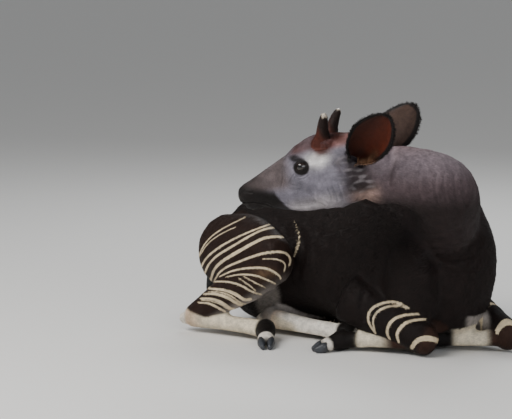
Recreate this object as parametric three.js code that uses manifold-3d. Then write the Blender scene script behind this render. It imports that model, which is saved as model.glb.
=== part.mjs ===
// A life-size okapi bull lying on its chest, its neck bent round so that the head rests in the air beside
// its right flank. Millimetres, +Z up: +X is the way the trunk faces and +Y is the animal's own left.
import * as THREE from "three";
import { LoftGeometry } from "three/addons/geometries/LoftGeometry.js";
import { mergeVertices } from "three/addons/utils/BufferGeometryUtils.js";
import Module from "manifold-3d";

const wasm = await Module();
wasm.setup();

// Driving dimensions
const gap = 0.3; // clearance between parts that touch
const restGap = 9; // clearance where a leg only lies beside the body
const headLength = 548; // occiput to lips
const noseDrop = THREE.MathUtils.degToRad(15.5); // how far the face points down
const noseTurn = THREE.MathUtils.degToRad(202); // way the face points, round from +X
const up = new THREE.Vector3(0, 0, 1);

// Coat colours
const coat = { brown: "#2b1a15", neck: "#4a3530", face: "#8d8688", white: "#d8cdb8", black: "#15110f" };
const horn = { bare: "#8c7f76", hoof: "#4c4f55", eye: "#0b0a0a", inner: "#5b2a1a" };

const finish = (color, roughness = 0.75) =>
  new THREE.MeshStandardMaterial({ color, roughness, metalness: 0 });

const okapi = new THREE.Group();
okapi.name = "okapi";

const vector = (p) => (p.isVector3 ? p.clone() : new THREE.Vector3(...p));

// Smooth sizes through a row of stations, each { at, wide, above, below, egg }.
function sizesAlong(stations) {
  const times = [0];
  const values = [];
  stations.forEach((s, i) => {
    if (i > 0) times.push(times[i - 1] + vector(s.at).distanceTo(vector(stations[i - 1].at)));
    values.push(...vector(s.at).toArray(), s.wide, s.above, s.below ?? s.above, s.egg ?? 0);
  });
  const curve = new THREE.CubicInterpolant(times, values, 7);
  const whole = times.at(-1);
  return (t) => {
    const [x, y, z, wide, above, below, egg] = curve.evaluate(THREE.MathUtils.clamp(t, 0, 1) * whole);
    return { at: new THREE.Vector3(x, y, z), wide, above, below, egg };
  };
}

// One closed section across the body: egg makes it wider above its middle, square makes it boxier.
function section(body, t, { columns, crest, square, grow, shrink = 1, push = 0 }) {
  const nudge = 0.01;
  const here = body(t);
  const along = body(t + nudge).at.sub(body(t - nudge).at).normalize();
  const side = vector(crest).cross(along).normalize();
  const top = along.clone().cross(side);
  const bend = (v) => Math.sign(v) * Math.abs(v) ** (2 / square);
  return Array.from({ length: columns }, (_, i) => {
    const angle = (i / columns) * 2 * Math.PI;
    const across = bend(Math.cos(angle)) * (1 + here.egg * Math.sin(angle));
    const rise = bend(Math.sin(angle));
    const height = (rise > 0 ? here.above : here.below) + grow;
    return here.at
      .clone()
      .addScaledVector(side, (here.wide + grow) * across * shrink)
      .addScaledVector(top, height * rise * shrink)
      .addScaledVector(along, push);
  });
}

// A solid lofted through the stations, with a rounded cap of the given length at each end.
function limb(stations, options = {}) {
  const { columns = 16, rings = 14, crest = up, square = 2, caps = [30, 30], grow = 0 } = options;
  const body = sizesAlong(stations);
  const shape = { columns, crest, square, grow };
  const capAngles = [18, 52].map(THREE.MathUtils.degToRad);
  const startCap = capAngles.map((a) =>
    section(body, 0, { ...shape, shrink: Math.sin(a), push: -Math.cos(a) * (caps[0] + grow) }),
  );
  const endCap = capAngles
    .map((a) => section(body, 1, { ...shape, shrink: Math.sin(a), push: Math.cos(a) * (caps[1] + grow) }))
    .reverse();
  const middle = Array.from({ length: rings }, (_, i) => section(body, i / (rings - 1), shape));
  return solid(new LoftGeometry([...startCap, ...middle, ...endCap], { capStart: true, capEnd: true }));
}

// A closed mesh as a solid that can be joined and cut.
function solid(geometry) {
  const bare = new THREE.BufferGeometry().setIndex(geometry.index);
  bare.setAttribute("position", geometry.attributes.position);
  const merged = mergeVertices(bare, 1e-3);
  return new wasm.Manifold(
    new wasm.Mesh({
      numProp: 3,
      vertProperties: merged.attributes.position.array,
      triVerts: new Uint32Array(merged.index.array),
    }),
  );
}

// A solid placed by a matrix.
const placed = (part, matrix) => solid(geometryOf(part).applyMatrix4(matrix));

function geometryOf(part) {
  const mesh = part.getMesh();
  const geometry = new THREE.BufferGeometry();
  geometry.setAttribute("position", new THREE.BufferAttribute(mesh.vertProperties.slice(), 3));
  geometry.setIndex(new THREE.BufferAttribute(mesh.triVerts.slice(), 1));
  return geometry;
}

const joined = (...parts) => parts.reduce((all, part) => all.add(part));
const cutBy = (part, ...tools) => tools.reduce((left, tool) => left.subtract(tool), part);
const largest = (part) => part.decompose().reduce((a, b) => (b.volume() > a.volume() ? b : a));

// A ball stretched along the axes, for a bulge of muscle or bone.
function bulge(at, radii, grow = 0, turn = 0, segments = 9) {
  const geometry = new THREE.SphereGeometry(1, segments, Math.round(segments * 0.7));
  geometry.scale(...radii.map((r) => r + grow));
  geometry.rotateZ(turn);
  geometry.translate(...vector(at).toArray());
  return solid(geometry);
}

// Everything below the floor is cut away, which leaves a small flat wherever a part lies on it.
const belowFloor = solid(new THREE.BoxGeometry(4000, 4000, 400).translate(0, 0, -200));

function addNode(name, part, material, group = okapi) {
  const mesh = new THREE.Mesh(geometryOf(largest(part)), material);
  mesh.name = name;
  group.add(mesh);
  return mesh;
}
const onFloor = (part) => part.subtract(belowFloor);

// Trunk: barrel, croup and brisket, from the buttocks forward to the breast.
const trunkStations = [
  { at: [-575, 30, 245], wide: 110, above: 90, below: 120 },
  { at: [-515, 25, 250], wide: 170, above: 160, below: 200 },
  { at: [-400, 25, 260], wide: 215, above: 235, below: 262 },
  { at: [-220, 30, 275], wide: 232, above: 262, below: 225, egg: -0.05 },
  { at: [0, 35, 280], wide: 242, above: 285, below: 225, egg: -0.1 },
  { at: [170, 40, 285], wide: 235, above: 330, below: 287, egg: -0.15 },
  { at: [320, 40, 285], wide: 215, above: 385, below: 288, egg: -0.15 },
  { at: [450, 35, 290], wide: 180, above: 330, below: 262, egg: -0.1 },
  { at: [550, 35, 280], wide: 125, above: 190, below: 205 },
];
const trunk = (grow = 0) =>
  joined(
    limb(trunkStations, { columns: 24, rings: 18, caps: [35, 40], grow }),
    bulge([385, -125, 260], [125, 85, 185], grow, -0.25, 13),
    bulge([385, 190, 260], [125, 85, 185], grow, 0.25, 13),
  );

// Neck: up and forward out of the shoulders, then round to the right and back.
const neckStations = [
  { at: [330, 10, 430], wide: 125, above: 165, below: 200 },
  { at: [445, -30, 480], wide: 120, above: 155, below: 175 },
  { at: [535, -115, 555], wide: 112, above: 132, below: 142 },
  { at: [570, -220, 622], wide: 104, above: 115, below: 125 },
  { at: [550, -315, 660], wide: 93, above: 104, below: 110 },
  { at: [480, -385, 680], wide: 82, above: 96, below: 100 },
];
const neckBend = 0.55; // where the neck is divided, along its length

// Head: its own frame has +X to the lips, +Y to its left and its origin at the occiput.
const headStations = [
  { at: [20, 0, 20], wide: 62, above: 88, below: 88 },
  { at: [90, 0, 25], wide: 82, above: 105, below: 112, egg: 0.05 },
  { at: [180, 0, 28], wide: 86, above: 116, below: 120, egg: 0.2 },
  { at: [250, 0, 26], wide: 86, above: 114, below: 116, egg: 0.28 },
  { at: [300, 0, 18], wide: 72, above: 102, below: 102, egg: 0.22 },
  { at: [355, 0, 17], wide: 54, above: 83, below: 84, egg: 0.12 },
  { at: [405, 0, 17], wide: 45, above: 65, below: 66, egg: 0.05 },
  { at: [455, 0, 16], wide: 42, above: 47, below: 48 },
  { at: [490, 0, 14], wide: 38, above: 38, below: 36 },
];
const headPlace = new THREE.Matrix4().compose(
  new THREE.Vector3(476, -391, 706),
  new THREE.Quaternion().setFromEuler(new THREE.Euler(0, noseDrop, noseTurn, "ZYX")),
  new THREE.Vector3(1, 1, 1).multiplyScalar(headLength / 520),
);
const skull = (grow = 0) => limb(headStations, { columns: 20, rings: 18, caps: [50, 28], grow });

const head = new THREE.Group();
head.applyMatrix4(headPlace);
okapi.add(head);

const eyeAt = (sign) => [262, sign * 70, 62];
const eyeRadius = 22;
const mirrored = (part) => joined(part(1), part(-1));

// Brow, cheekbone, jaw muscle, lips and chin stand out from the plain skull; lids close over each eye.
const face = (grow = 0) =>
  joined(
    skull(grow),
    mirrored((sign) => bulge([245, sign * 62, 88], [44, 22, 22], grow)),
    mirrored((sign) => bulge([270, sign * 52, 30], [70, 30, 26], grow, sign * -0.25)),
    mirrored((sign) => bulge([170, sign * 36, -12], [95, 54, 84], grow, 0, 12)),
    mirrored((sign) => bulge([478, sign * 20, 18], [34, 24, 24], grow)),
    bulge([462, 0, -20], [42, 31, 20], grow),
    bulge([100, 0, 96], [60, 50, 30], grow),
    bulge([28, 0, -64], [80, 56, 60], grow),
    mirrored((sign) => bulge([172, sign * 42, 108], [34, 30, 30], grow)),
    mirrored((sign) => bulge(eyeAt(sign), [28, 25, 27], grow, 0, 12)),
  );
const nostril = (sign) => bulge([500, sign * 19, 27], [13, 7, 5], 0, sign * -0.5);
const mouthLine = () =>
  limb(
    [
      { at: [425, 50, -24], wide: 3, above: 3 },
      { at: [470, 44, -8], wide: 3, above: 3 },
      { at: [519, 0, -2], wide: 3, above: 4 },
      { at: [470, -44, -8], wide: 3, above: 3 },
      { at: [425, -50, -24], wide: 3, above: 3 },
    ],
    { columns: 6, rings: 15, caps: [3, 3] },
  );
const lidSlit = (sign) => bulge([262, sign * 96, 60], [19, 24, 12], 0, 0, 12);

addNode(
  "head",
  cutBy(
    face(),
    mirrored((sign) => bulge(eyeAt(sign), [eyeRadius, eyeRadius, eyeRadius], gap, 0, 12)),
    mirrored(lidSlit),
    mirrored(nostril),
    mouthLine(),
  ),
  finish(coat.face),
  head,
);

// Ossicones: short bony horns under skin, bare at the tip, leaning apart and back.
const ossicone = (sign) =>
  limb(
    [
      { at: [180, sign * 44, 112], wide: 27, above: 27 },
      { at: [172, sign * 51, 160], wide: 19, above: 20 },
      { at: [152, sign * 70, 208], wide: 11, above: 11 },
    ],
    { columns: 10, rings: 7, crest: [1, 0, 0], caps: [8, 9] },
  );

// Ears: a leaf-shaped cup, rolled into a tube at its root and opening outward.
const earLength = 226;
const earWall = 6;
const earShape = [
  { t: 0, halfWidth: 25, halfAngle: 150 },
  { t: 0.14, halfWidth: 40, halfAngle: 122 },
  { t: 0.35, halfWidth: 59, halfAngle: 88 },
  { t: 0.58, halfWidth: 66, halfAngle: 68 },
  { t: 0.78, halfWidth: 54, halfAngle: 58 },
  { t: 0.92, halfWidth: 33, halfAngle: 50 },
  { t: 1, halfWidth: 12, halfAngle: 40 },
];
function ear(sign) {
  const root = vector([78, sign * 78, 50]);
  const tipWay = vector([-0.75, sign * 0.46, 0.49]).normalize();
  const facing = vector([0.11, sign * 0.95, -0.36]);
  facing.addScaledVector(tipWay, -facing.dot(tipWay)).normalize();
  const across = tipWay.clone().cross(facing);
  const shape = new THREE.CubicInterpolant(
    earShape.map((e) => e.t),
    earShape.flatMap((e) => [e.halfWidth, THREE.MathUtils.degToRad(e.halfAngle)]),
    2,
  );
  const columns = 9;
  const rows = 11;
  const sections = Array.from({ length: rows }, (_, r) => {
    const t = r / (rows - 1);
    const [halfWidth, halfAngle] = shape.evaluate(t);
    const radius = halfWidth / Math.sin(Math.min(halfAngle, Math.PI / 2));
    const centre = root
      .clone()
      .addScaledVector(tipWay, t * earLength)
      .addScaledVector(facing, radius - 26 + 22 * t * t);
    const arc = (from, k) => {
      const angle = halfAngle * (1 - (2 * k) / (columns - 1));
      const at = centre.clone().addScaledVector(facing, -Math.cos(angle) * from);
      return at.addScaledVector(across, Math.sin(angle) * from);
    };
    const outer = Array.from({ length: columns }, (_, k) => arc(radius, k));
    const inner = Array.from({ length: columns }, (_, k) => arc(radius - earWall, columns - 1 - k));
    return [...outer, ...inner];
  });
  return solid(new LoftGeometry(sections, { capStart: true, capEnd: true }));
}

for (const [side, sign] of [["left", 1], ["right", -1]]) {
  addNode("eye_" + side, bulge(eyeAt(sign), [eyeRadius, eyeRadius, eyeRadius], 0, 0, 12), finish(horn.eye, 0.1), head);
  addNode("ossicone_" + side, ossicone(sign).subtract(face(gap)), finish(horn.bare), head);
  addNode("ear_" + side, ear(sign).subtract(face(gap)), finish(horn.inner), head);
}

// Legs. Each joint is a named point on the animal.
const joints = {
  right: {
    elbow: [165, -205, 190], knee: [460, -124, 54], foreFetlock: [165, -226, 38], foreToe: [118, -322, 16],
    hip: [-430, -175, 300], stifle: [-105, -285, 305], hock: [-462, -330, 58], hindFetlock: [-146, -288, 44],
    hindToe: [-52, -398, 14],
  },
  left: {
    elbow: [300, 215, 185], knee: [640, 128, 54], foreFetlock: [385, -48, 38], foreToe: [250, -35, 18],
    hip: [-400, 140, 190], stifle: [-100, 192, 82], hock: [-218, -176, 60], hindFetlock: [108, -142, 40],
    hindToe: [240, -105, 18],
  },
};
const between = (a, b, t) => vector(a).lerp(vector(b), t);

const forearm = (j, grow = 0) =>
  limb(
    [
      { at: j.elbow, wide: 68, above: 95 },
      { at: between(j.elbow, j.knee, 0.4), wide: 62, above: 77 },
      { at: between(j.elbow, j.knee, 0.8), wide: 52, above: 60 },
      { at: j.knee, wide: 52, above: 54 },
    ],
    { columns: 16, rings: 10, caps: [20, 34], grow },
  );
const cannon = (from, to, thick, grow = 0) =>
  limb(
    [
      { at: from, wide: thick * 1.25, above: thick * 1.4 },
      { at: between(from, to, 0.25), wide: thick * 0.95, above: thick * 1.2 },
      { at: between(from, to, 0.75), wide: thick * 0.9, above: thick * 1.05 },
      { at: to, wide: thick * 1.2, above: thick * 1.25 },
    ],
    { columns: 12, rings: 8, caps: [15, 10], grow },
  );
const fetlock = (from, to, grow = 0) =>
  limb(
    [
      { at: between(from, to, -0.12), wide: 36, above: 37 },
      { at: between(from, to, 0.1), wide: 38, above: 39 },
      { at: between(from, to, 0.38), wide: 30, above: 30 },
    ],
    { columns: 12, rings: 6, caps: [14, 6], grow },
  );
const pastern = (from, to, grow = 0) =>
  limb(
    [
      { at: between(from, to, 0.3), wide: 30, above: 29 },
      { at: between(from, to, 0.6), wide: 33, above: 26 },
      { at: between(from, to, 0.72), wide: 34, above: 22 },
    ],
    { columns: 12, rings: 5, caps: [8, 8], grow },
  );
function hoof(from, to, way) {
  const along = vector(to).sub(vector(from)).normalize();
  const side = up.clone().cross(along).multiplyScalar(way);
  const at = (t, aside) => between(from, to, t).addScaledVector(side, aside);
  return limb(
    [
      { at: at(0.62, 17), wide: 14, above: 20 },
      { at: at(0.82, 18), wide: 15, above: 18, below: 20 },
      { at: at(1.08, 12), wide: 8, above: 8, below: 14 },
    ],
    { columns: 9, rings: 5, caps: [6, 6] },
  );
}
const thigh = (j, grow = 0) =>
  limb(
    [
      { at: j.hip, wide: 125, above: 132, below: 150 },
      { at: between(j.hip, j.stifle, 0.5), wide: 110, above: 145, below: 160 },
      { at: j.stifle, wide: 70, above: 98, below: 96 },
    ],
    { columns: 18, rings: 9, caps: [70, 66], grow },
  );
const shank = (j, grow = 0) =>
  limb(
    [
      { at: j.stifle, wide: 60, above: 80 },
      { at: between(j.stifle, j.hock, 0.35), wide: 64, above: 84 },
      { at: between(j.stifle, j.hock, 0.75), wide: 44, above: 54 },
      { at: j.hock, wide: 38, above: 44 },
    ],
    { columns: 14, rings: 9, caps: [30, 30], grow },
  );
// The point of the hock stands out behind the joint.
const heel = (j, grow = 0) => {
  const back = vector(j.hock).sub(vector(j.hindFetlock)).normalize();
  const tip = vector(j.hock).addScaledVector(back, 46).setZ(46);
  return limb(
    [
      { at: j.hock, wide: 34, above: 38 },
      { at: tip, wide: 18, above: 22 },
    ],
    { columns: 10, rings: 4, caps: [8, 14], grow },
  );
};
const lowerThigh = (j, grow = 0) => joined(shank(j, grow), heel(j, grow));
const haunch = (j, grow = 0) => joined(thigh(j, grow), lowerThigh(j, grow));

const { right, left } = joints;
const foreThick = 26;
const hindThick = 29;

// One plain shape round a whole lower leg, to clear the parts it lies against.
const legRoom = (root, from, to, thick) =>
  limb(
    [
      { at: root, wide: thick * 1.25, above: thick * 1.4 },
      { at: between(root, from, 0.5), wide: thick, above: thick * 1.2 },
      { at: from, wide: 38, above: 39 },
      { at: to, wide: 35, above: 22 },
    ],
    { columns: 10, rings: 8, caps: [15, 26], grow: restGap },
  );
const lower = (j) => [
  legRoom(j.knee, j.foreFetlock, j.foreToe, foreThick),
  legRoom(j.hock, j.hindFetlock, j.hindToe, hindThick),
];

addNode(
  "torso",
  onFloor(cutBy(trunk(), lowerThigh(left, gap), ...lower(left), ...lower(right))),
  finish(coat.brown),
);

// The neck is divided at its bend, square to its length.
const neck = cutBy(
  limb(neckStations, { columns: 16, rings: 11, caps: [10, 10] }),
  trunk(gap),
  placed(face(gap), headPlace),
);
const bend = sizesAlong(neckStations);
const neckWay = bend(neckBend + 0.02).at.sub(bend(neckBend - 0.02).at).normalize();
const neckAt = bend(neckBend).at.dot(neckWay);
addNode("neck_lower", neck.trimByPlane(neckWay.clone().negate().toArray(), gap / 2 - neckAt), finish(coat.neck));
addNode("neck_upper", neck.trimByPlane(neckWay.toArray(), neckAt + gap / 2), finish(coat.neck));

for (const [side, j] of Object.entries(joints)) {
  const other = side === "left" ? right : left;
  addNode("forearm_" + side, onFloor(cutBy(forearm(j), trunk(gap), ...lower(other))), finish(coat.brown));
  addNode("thigh_" + side, onFloor(side === "left" ? joined(cutBy(thigh(j), trunk(gap)), lowerThigh(j)) : cutBy(haunch(j), trunk(gap), ...lower(other))), finish(coat.brown));
  for (const [end, root, from, to, thick, above] of [
    ["fore", j.knee, j.foreFetlock, j.foreToe, foreThick, forearm(j, gap)],
    ["hind", j.hock, j.hindFetlock, j.hindToe, hindThick, haunch(j, gap)],
  ]) {
    addNode(end + "_cannon_" + side, onFloor(cutBy(cannon(root, from, thick), above)), finish(coat.white));
    addNode(end + "_fetlock_" + side, onFloor(cutBy(fetlock(from, to), cannon(root, from, thick, gap), above)), finish(coat.black));
    addNode(end + "_pastern_" + side, onFloor(cutBy(pastern(from, to), fetlock(from, to, gap), above)), finish(coat.white));
    for (const [place, way] of [["a", 1], ["b", -1]]) {
      const claw = cutBy(hoof(from, to, way), pastern(from, to, gap), above);
      addNode(end + "_hoof_" + side + "_" + place, onFloor(claw), finish(horn.hoof, 0.4));
    }
  }
}

// Tail: hangs behind the haunches, its tuft in flat tapering locks.
const tailEnd = [-712, 66, 110];
addNode(
  "tail",
  limb(
    [
      { at: [-560, 30, 345], wide: 26, above: 26 },
      { at: [-640, 40, 330], wide: 20, above: 20 },
      { at: [-690, 55, 230], wide: 14, above: 14 },
      { at: tailEnd, wide: 11, above: 11 },
    ],
    { columns: 10, rings: 10, crest: [1, 0, 0], caps: [5, 8] },
  ).subtract(trunk(gap)),
  finish(coat.brown),
);
const tuft = Array.from({ length: 5 }, (_, i) => {
  const turn = (i / 5) * 2 * Math.PI;
  const out = (r, z) => [tailEnd[0] + r * Math.cos(turn), tailEnd[1] + r * Math.sin(turn), z];
  return limb(
    [
      { at: out(9, 150 - 6 * (i % 2)), wide: 9, above: 5 },
      { at: out(20, 90), wide: 11, above: 6 },
      { at: out(14, 34 + 8 * (i % 3)), wide: 3, above: 2 },
    ],
    { columns: 5, rings: 4, crest: [Math.cos(turn), Math.sin(turn), 0], caps: [4, 6] },
  );
});
addNode("tail_tuft", joined(bulge([-711, 65, 105], [16, 16, 50]), ...tuft).subtract(
  limb(
    [
      { at: [-640, 40, 330], wide: 20, above: 20 },
      { at: [-690, 55, 230], wide: 14, above: 14 },
      { at: tailEnd, wide: 11, above: 11 },
    ],
    { columns: 10, rings: 10, crest: [1, 0, 0], caps: [5, 8], grow: gap + 1 },
  ),
), finish(coat.black));

// The middle of the part's box stands on the origin.
okapi.updateMatrixWorld(true);
const box = new THREE.Box3().setFromObject(okapi, true);
const middle = box.getCenter(new THREE.Vector3());
okapi.position.set(-middle.x, -middle.y, -box.min.z);

export default okapi;
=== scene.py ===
# %% [markdown]
# # A resting okapi bull, dressed over its solid core
# The solids give the size, the pose and the floor. Here they get one seamless skin with its folds, the
# short velvety coat with its markings, wet eyes, leafy ears, bare-tipped ossicones and horny hooves.

import math

import bpy
import bmesh
import numpy as np
from mathutils import Matrix, Vector
from mathutils.bvhtree import BVHTree


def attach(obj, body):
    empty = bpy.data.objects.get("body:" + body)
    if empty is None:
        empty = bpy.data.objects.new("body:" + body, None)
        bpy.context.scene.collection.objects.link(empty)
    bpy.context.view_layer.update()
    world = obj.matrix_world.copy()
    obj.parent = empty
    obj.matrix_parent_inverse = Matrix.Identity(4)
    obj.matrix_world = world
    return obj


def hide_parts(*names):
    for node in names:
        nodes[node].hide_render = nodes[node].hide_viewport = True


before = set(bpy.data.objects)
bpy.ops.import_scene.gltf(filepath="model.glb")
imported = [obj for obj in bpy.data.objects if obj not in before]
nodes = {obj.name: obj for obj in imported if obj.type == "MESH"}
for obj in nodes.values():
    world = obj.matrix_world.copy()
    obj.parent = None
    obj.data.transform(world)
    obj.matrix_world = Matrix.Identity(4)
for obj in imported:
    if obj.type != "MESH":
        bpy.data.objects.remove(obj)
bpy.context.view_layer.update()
print(len(nodes), "solids")

# %% [markdown]
# The animal was measured in a study frame of its own: +X the way the trunk faces, +Y its left, in metres.
# The centre of an eyeball is known in both frames, so one subtraction ties them together. The head has
# a frame too, in millimetres: +X to the lips, +Y to its left, +Z out of the crown.

# %% Study frame and head frame
HEAD_SCALE = 548 / 520
HEAD_AT = np.array([0.476, -0.391, 0.706])
NOSE_TURN = math.radians(202)
NOSE_DROP = math.radians(15.5)
EYE_AT = np.array([262.0, 70.0, 62.0])
EYE_RADIUS = 22.0
EYE_SEAT = EYE_AT + np.array([-4.0, 1.0, 3.0])

head_axes = np.array(Matrix.Rotation(NOSE_TURN, 3, "Z") @ Matrix.Rotation(NOSE_DROP, 3, "Y"))


def head_to_study(local):
    return HEAD_AT + (np.asarray(local, float) / 1000 * HEAD_SCALE) @ head_axes.T


def study_to_head(point):
    return (np.asarray(point, float) - HEAD_AT) @ head_axes / HEAD_SCALE * 1000


def node_points(name):
    mesh = nodes[name].data
    flat = np.empty(len(mesh.vertices) * 3)
    mesh.vertices.foreach_get("co", flat)
    return flat.reshape(-1, 3)


eye_middle = (node_points("eye_left").max(0) + node_points("eye_left").min(0)) / 2
SHIFT = eye_middle - head_to_study(EYE_AT)
SHIFT[2] = 0
print("study frame shift", SHIFT.round(4))

# %% [markdown]
# The view has a long lens from seven metres away, a little above the animal's back. The same numbers
# tell where a point of the body lies in the picture, which is how stripes and folds were measured.

# %% Camera
VIEW_FROM = np.array([4.50, -5.88, 1.54])
VIEW_TURN = math.radians(40)
VIEW_DROP = math.radians(8.25)
FOCAL = 2030.0
PICTURE = (512, 419)

view_forward = np.array(
    [
        -math.sin(VIEW_TURN) * math.cos(VIEW_DROP),
        math.cos(VIEW_TURN) * math.cos(VIEW_DROP),
        -math.sin(VIEW_DROP),
    ]
)
view_right = np.array([math.cos(VIEW_TURN), math.sin(VIEW_TURN), 0.0])
view_up = np.cross(view_right, view_forward)


def in_picture(points):
    """Picture coordinates of points given in the study frame."""
    away = points - VIEW_FROM
    depth = away @ view_forward
    across = PICTURE[0] / 2 + FOCAL * (away @ view_right) / depth
    down = PICTURE[1] / 2 - FOCAL * (away @ view_up) / depth
    return np.stack([across, down], -1)


camera_data = bpy.data.cameras.new("camera")
camera_data.sensor_fit = "HORIZONTAL"
camera_data.sensor_width = 36
camera_data.lens = FOCAL * 36 / PICTURE[0]
camera_data.clip_end = 60
camera = bpy.data.objects.new("camera", camera_data)
axes = Matrix([view_right, view_up, -view_forward]).transposed().to_4x4()
camera.matrix_world = Matrix.Translation(Vector(VIEW_FROM + SHIFT)) @ axes
bpy.context.scene.collection.objects.link(camera)
bpy.context.scene.camera = camera
print("camera at", (VIEW_FROM + SHIFT).round(2))

# %% [markdown]
# Soft studio light: one big window of light high on the camera's left, a low fill, a strip behind for
# the rim of the ears, and a wide pale floor.

# %% Floor and lights
floor_mesh = bpy.data.meshes.new("floor")
floor_mesh.from_pydata([(-30, -30, 0), (30, -30, 0), (30, 30, 0), (-30, 30, 0)], [], [(0, 1, 2, 3)])
floor = bpy.data.objects.new("floor", floor_mesh)
floor.location.z = -0.0005
bpy.context.scene.collection.objects.link(floor)


def plain_material(name, color, roughness):
    material = bpy.data.materials.new(name)
    material.use_nodes = True
    shader = material.node_tree.nodes["Principled BSDF"]
    shader.inputs["Base Color"].default_value = (*color, 1)
    shader.inputs["Roughness"].default_value = roughness
    return material


floor_mesh.materials.append(plain_material("pale_floor", (0.80, 0.79, 0.77), 0.85))


def area_light(name, at, towards, size, watts, color=(1, 1, 1)):
    data = bpy.data.lights.new(name, "AREA")
    data.shape = "RECTANGLE"
    data.size, data.size_y = size
    data.energy = watts
    data.color = color
    light = bpy.data.objects.new(name, data)
    light.location = at
    light.rotation_euler = (Vector(towards) - Vector(at)).to_track_quat("-Z", "Y").to_euler()
    bpy.context.scene.collection.objects.link(light)


area_light("window_light", (-0.6, -3.4, 3.6), (0.1, 0, 0.4), (3.2, 2.4), 210, (1.0, 0.98, 0.95))
area_light("fill_light", (3.8, -2.0, 1.6), (0.2, 0, 0.4), (2.5, 2.0), 45, (0.92, 0.96, 1.0))
area_light("back_light", (-1.5, 3.2, 3.4), (0, 0, 0.5), (3.0, 1.5), 75, (0.95, 0.98, 1.0))
world = bpy.data.worlds.new("studio")
world.use_nodes = True
world.node_tree.nodes["Background"].inputs["Color"].default_value = (0.86, 0.88, 0.90, 1)
world.node_tree.nodes["Background"].inputs["Strength"].default_value = 0.36
bpy.context.scene.world = world
print("three lights and a floor")

# %% [markdown]
# Every limb is followed by a row of points with a radius at each, the same joints that the solids have.
# The nearest row tells which part of the body a piece of skin belongs to, and how far along it lies.

# %% Body map
LEGS = {
    "right": {
        "elbow": (165, -205, 190), "knee": (460, -124, 54), "fore_fetlock": (165, -226, 38),
        "fore_toe": (118, -322, 16), "hip": (-430, -175, 300), "stifle": (-105, -285, 305),
        "hock": (-462, -330, 58), "hind_fetlock": (-146, -288, 44), "hind_toe": (-52, -398, 14),
    },
    "left": {
        "elbow": (300, 215, 185), "knee": (640, 128, 54), "fore_fetlock": (385, -48, 38),
        "fore_toe": (250, -35, 18), "hip": (-400, 140, 190), "stifle": (-100, 192, 82),
        "hock": (-218, -176, 60), "hind_fetlock": (108, -142, 40), "hind_toe": (240, -105, 18),
    },
}
for joints in LEGS.values():
    for name in joints:
        joints[name] = np.array(joints[name]) / 1000

ROWS = {
    "trunk": ([(-520, 25, 260), (-220, 30, 285), (170, 40, 290), (320, 40, 300), (480, 35, 290)],
              [190, 240, 250, 240, 170]),
    "neck": ([(420, -20, 480), (535, -115, 555), (570, -220, 622), (550, -315, 655), (500, -372, 672)],
             [140, 128, 115, 102, 96]),
    "tail": ([(-570, 30, 345), (-640, 40, 330), (-690, 55, 230), (-712, 66, 110)], [26, 20, 14, 12]),
}
ROWS = {name: (np.array(p) / 1000, np.array(r) / 1000) for name, (p, r) in ROWS.items()}
ROWS["head"] = (head_to_study([(60, 0, 25), (180, 0, 28), (260, 0, 25), (400, 0, 17), (490, 0, 12)]),
                np.array([105, 112, 104, 60, 38]) / 1000)
for side, j in LEGS.items():
    def between(a, b, t):
        return j[a] + (j[b] - j[a]) * t

    ROWS["forearm_" + side] = (np.array([j["elbow"], j["knee"]]), np.array([0.085, 0.056]))
    ROWS["fore_cannon_" + side] = (
        np.array([between("knee", "fore_fetlock", 0.14), j["fore_fetlock"]]), np.array([0.032, 0.032]))
    ROWS["fore_foot_" + side] = (np.array([j["fore_fetlock"], j["fore_toe"]]), np.array([0.040, 0.026]))
    ROWS["thigh_" + side] = (np.array([j["hip"], j["stifle"]]), np.array([0.15, 0.085]))
    ROWS["shank_" + side] = (np.array([j["stifle"], j["hock"]]), np.array([0.082, 0.044]))
    ROWS["hind_cannon_" + side] = (
        np.array([between("hock", "hind_fetlock", 0.05), j["hind_fetlock"]]), np.array([0.037, 0.034]))
    ROWS["hind_foot_" + side] = (np.array([j["hind_fetlock"], j["hind_toe"]]), np.array([0.040, 0.026]))
ROW_NAMES = sorted(ROWS)


def along_row(points, name):
    """Distance of points outside a row of balls, and how far along the row they lie, from 0 to 1."""
    spine, radii = ROWS[name]
    best = np.full(len(points), 9.0)
    station = np.zeros(len(points))
    for i in range(len(spine) - 1):
        way = spine[i + 1] - spine[i]
        t = np.clip((points - spine[i]) @ way / (way @ way), 0, 1)
        gap = np.linalg.norm(points - spine[i] - t[:, None] * way, axis=1)
        gap = gap - (radii[i] + (radii[i + 1] - radii[i]) * t)
        closer = gap < best
        best[closer] = gap[closer]
        station[closer] = ((i + t) / (len(spine) - 1))[closer]
    return best, station


def unit(vector):
    vector = np.asarray(vector, float)
    return vector / np.linalg.norm(vector, axis=-1, keepdims=True)


def smooth(low, high, value):
    t = np.clip((value - low) / (high - low), 0, 1)
    return t * t * (3 - 2 * t)


def bell(value, middle, width):
    return np.exp(-(((value - middle) / width) ** 2))


print(len(ROW_NAMES), "rows of the body map")

# %% [markdown]
# The skin starts as copies of the flesh solids, swollen by a hair so that they overlap, then turned
# into one surface with a voxel remesh and smoothed. A second, finer remesh of the head alone keeps its
# lids, lips and nostrils, and the denser part of the skin is drawn onto it.

# %% Skin from the solids
OWN_PIECES = ("ear_", "ossicone_", "eye_", "tail_tuft")
FLESH = [n for n in sorted(nodes) if not n.startswith(OWN_PIECES) and "hoof" not in n]
SKIN_VOXEL = 0.0074
FACE_VOXEL = 0.0026


def closed_copy(name):
    mesh = nodes[name].data.copy()
    work = bmesh.new()
    work.from_mesh(mesh)
    bmesh.ops.remove_doubles(work, verts=work.verts, dist=1e-5)
    work.to_mesh(mesh)
    work.free()
    return mesh


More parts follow.
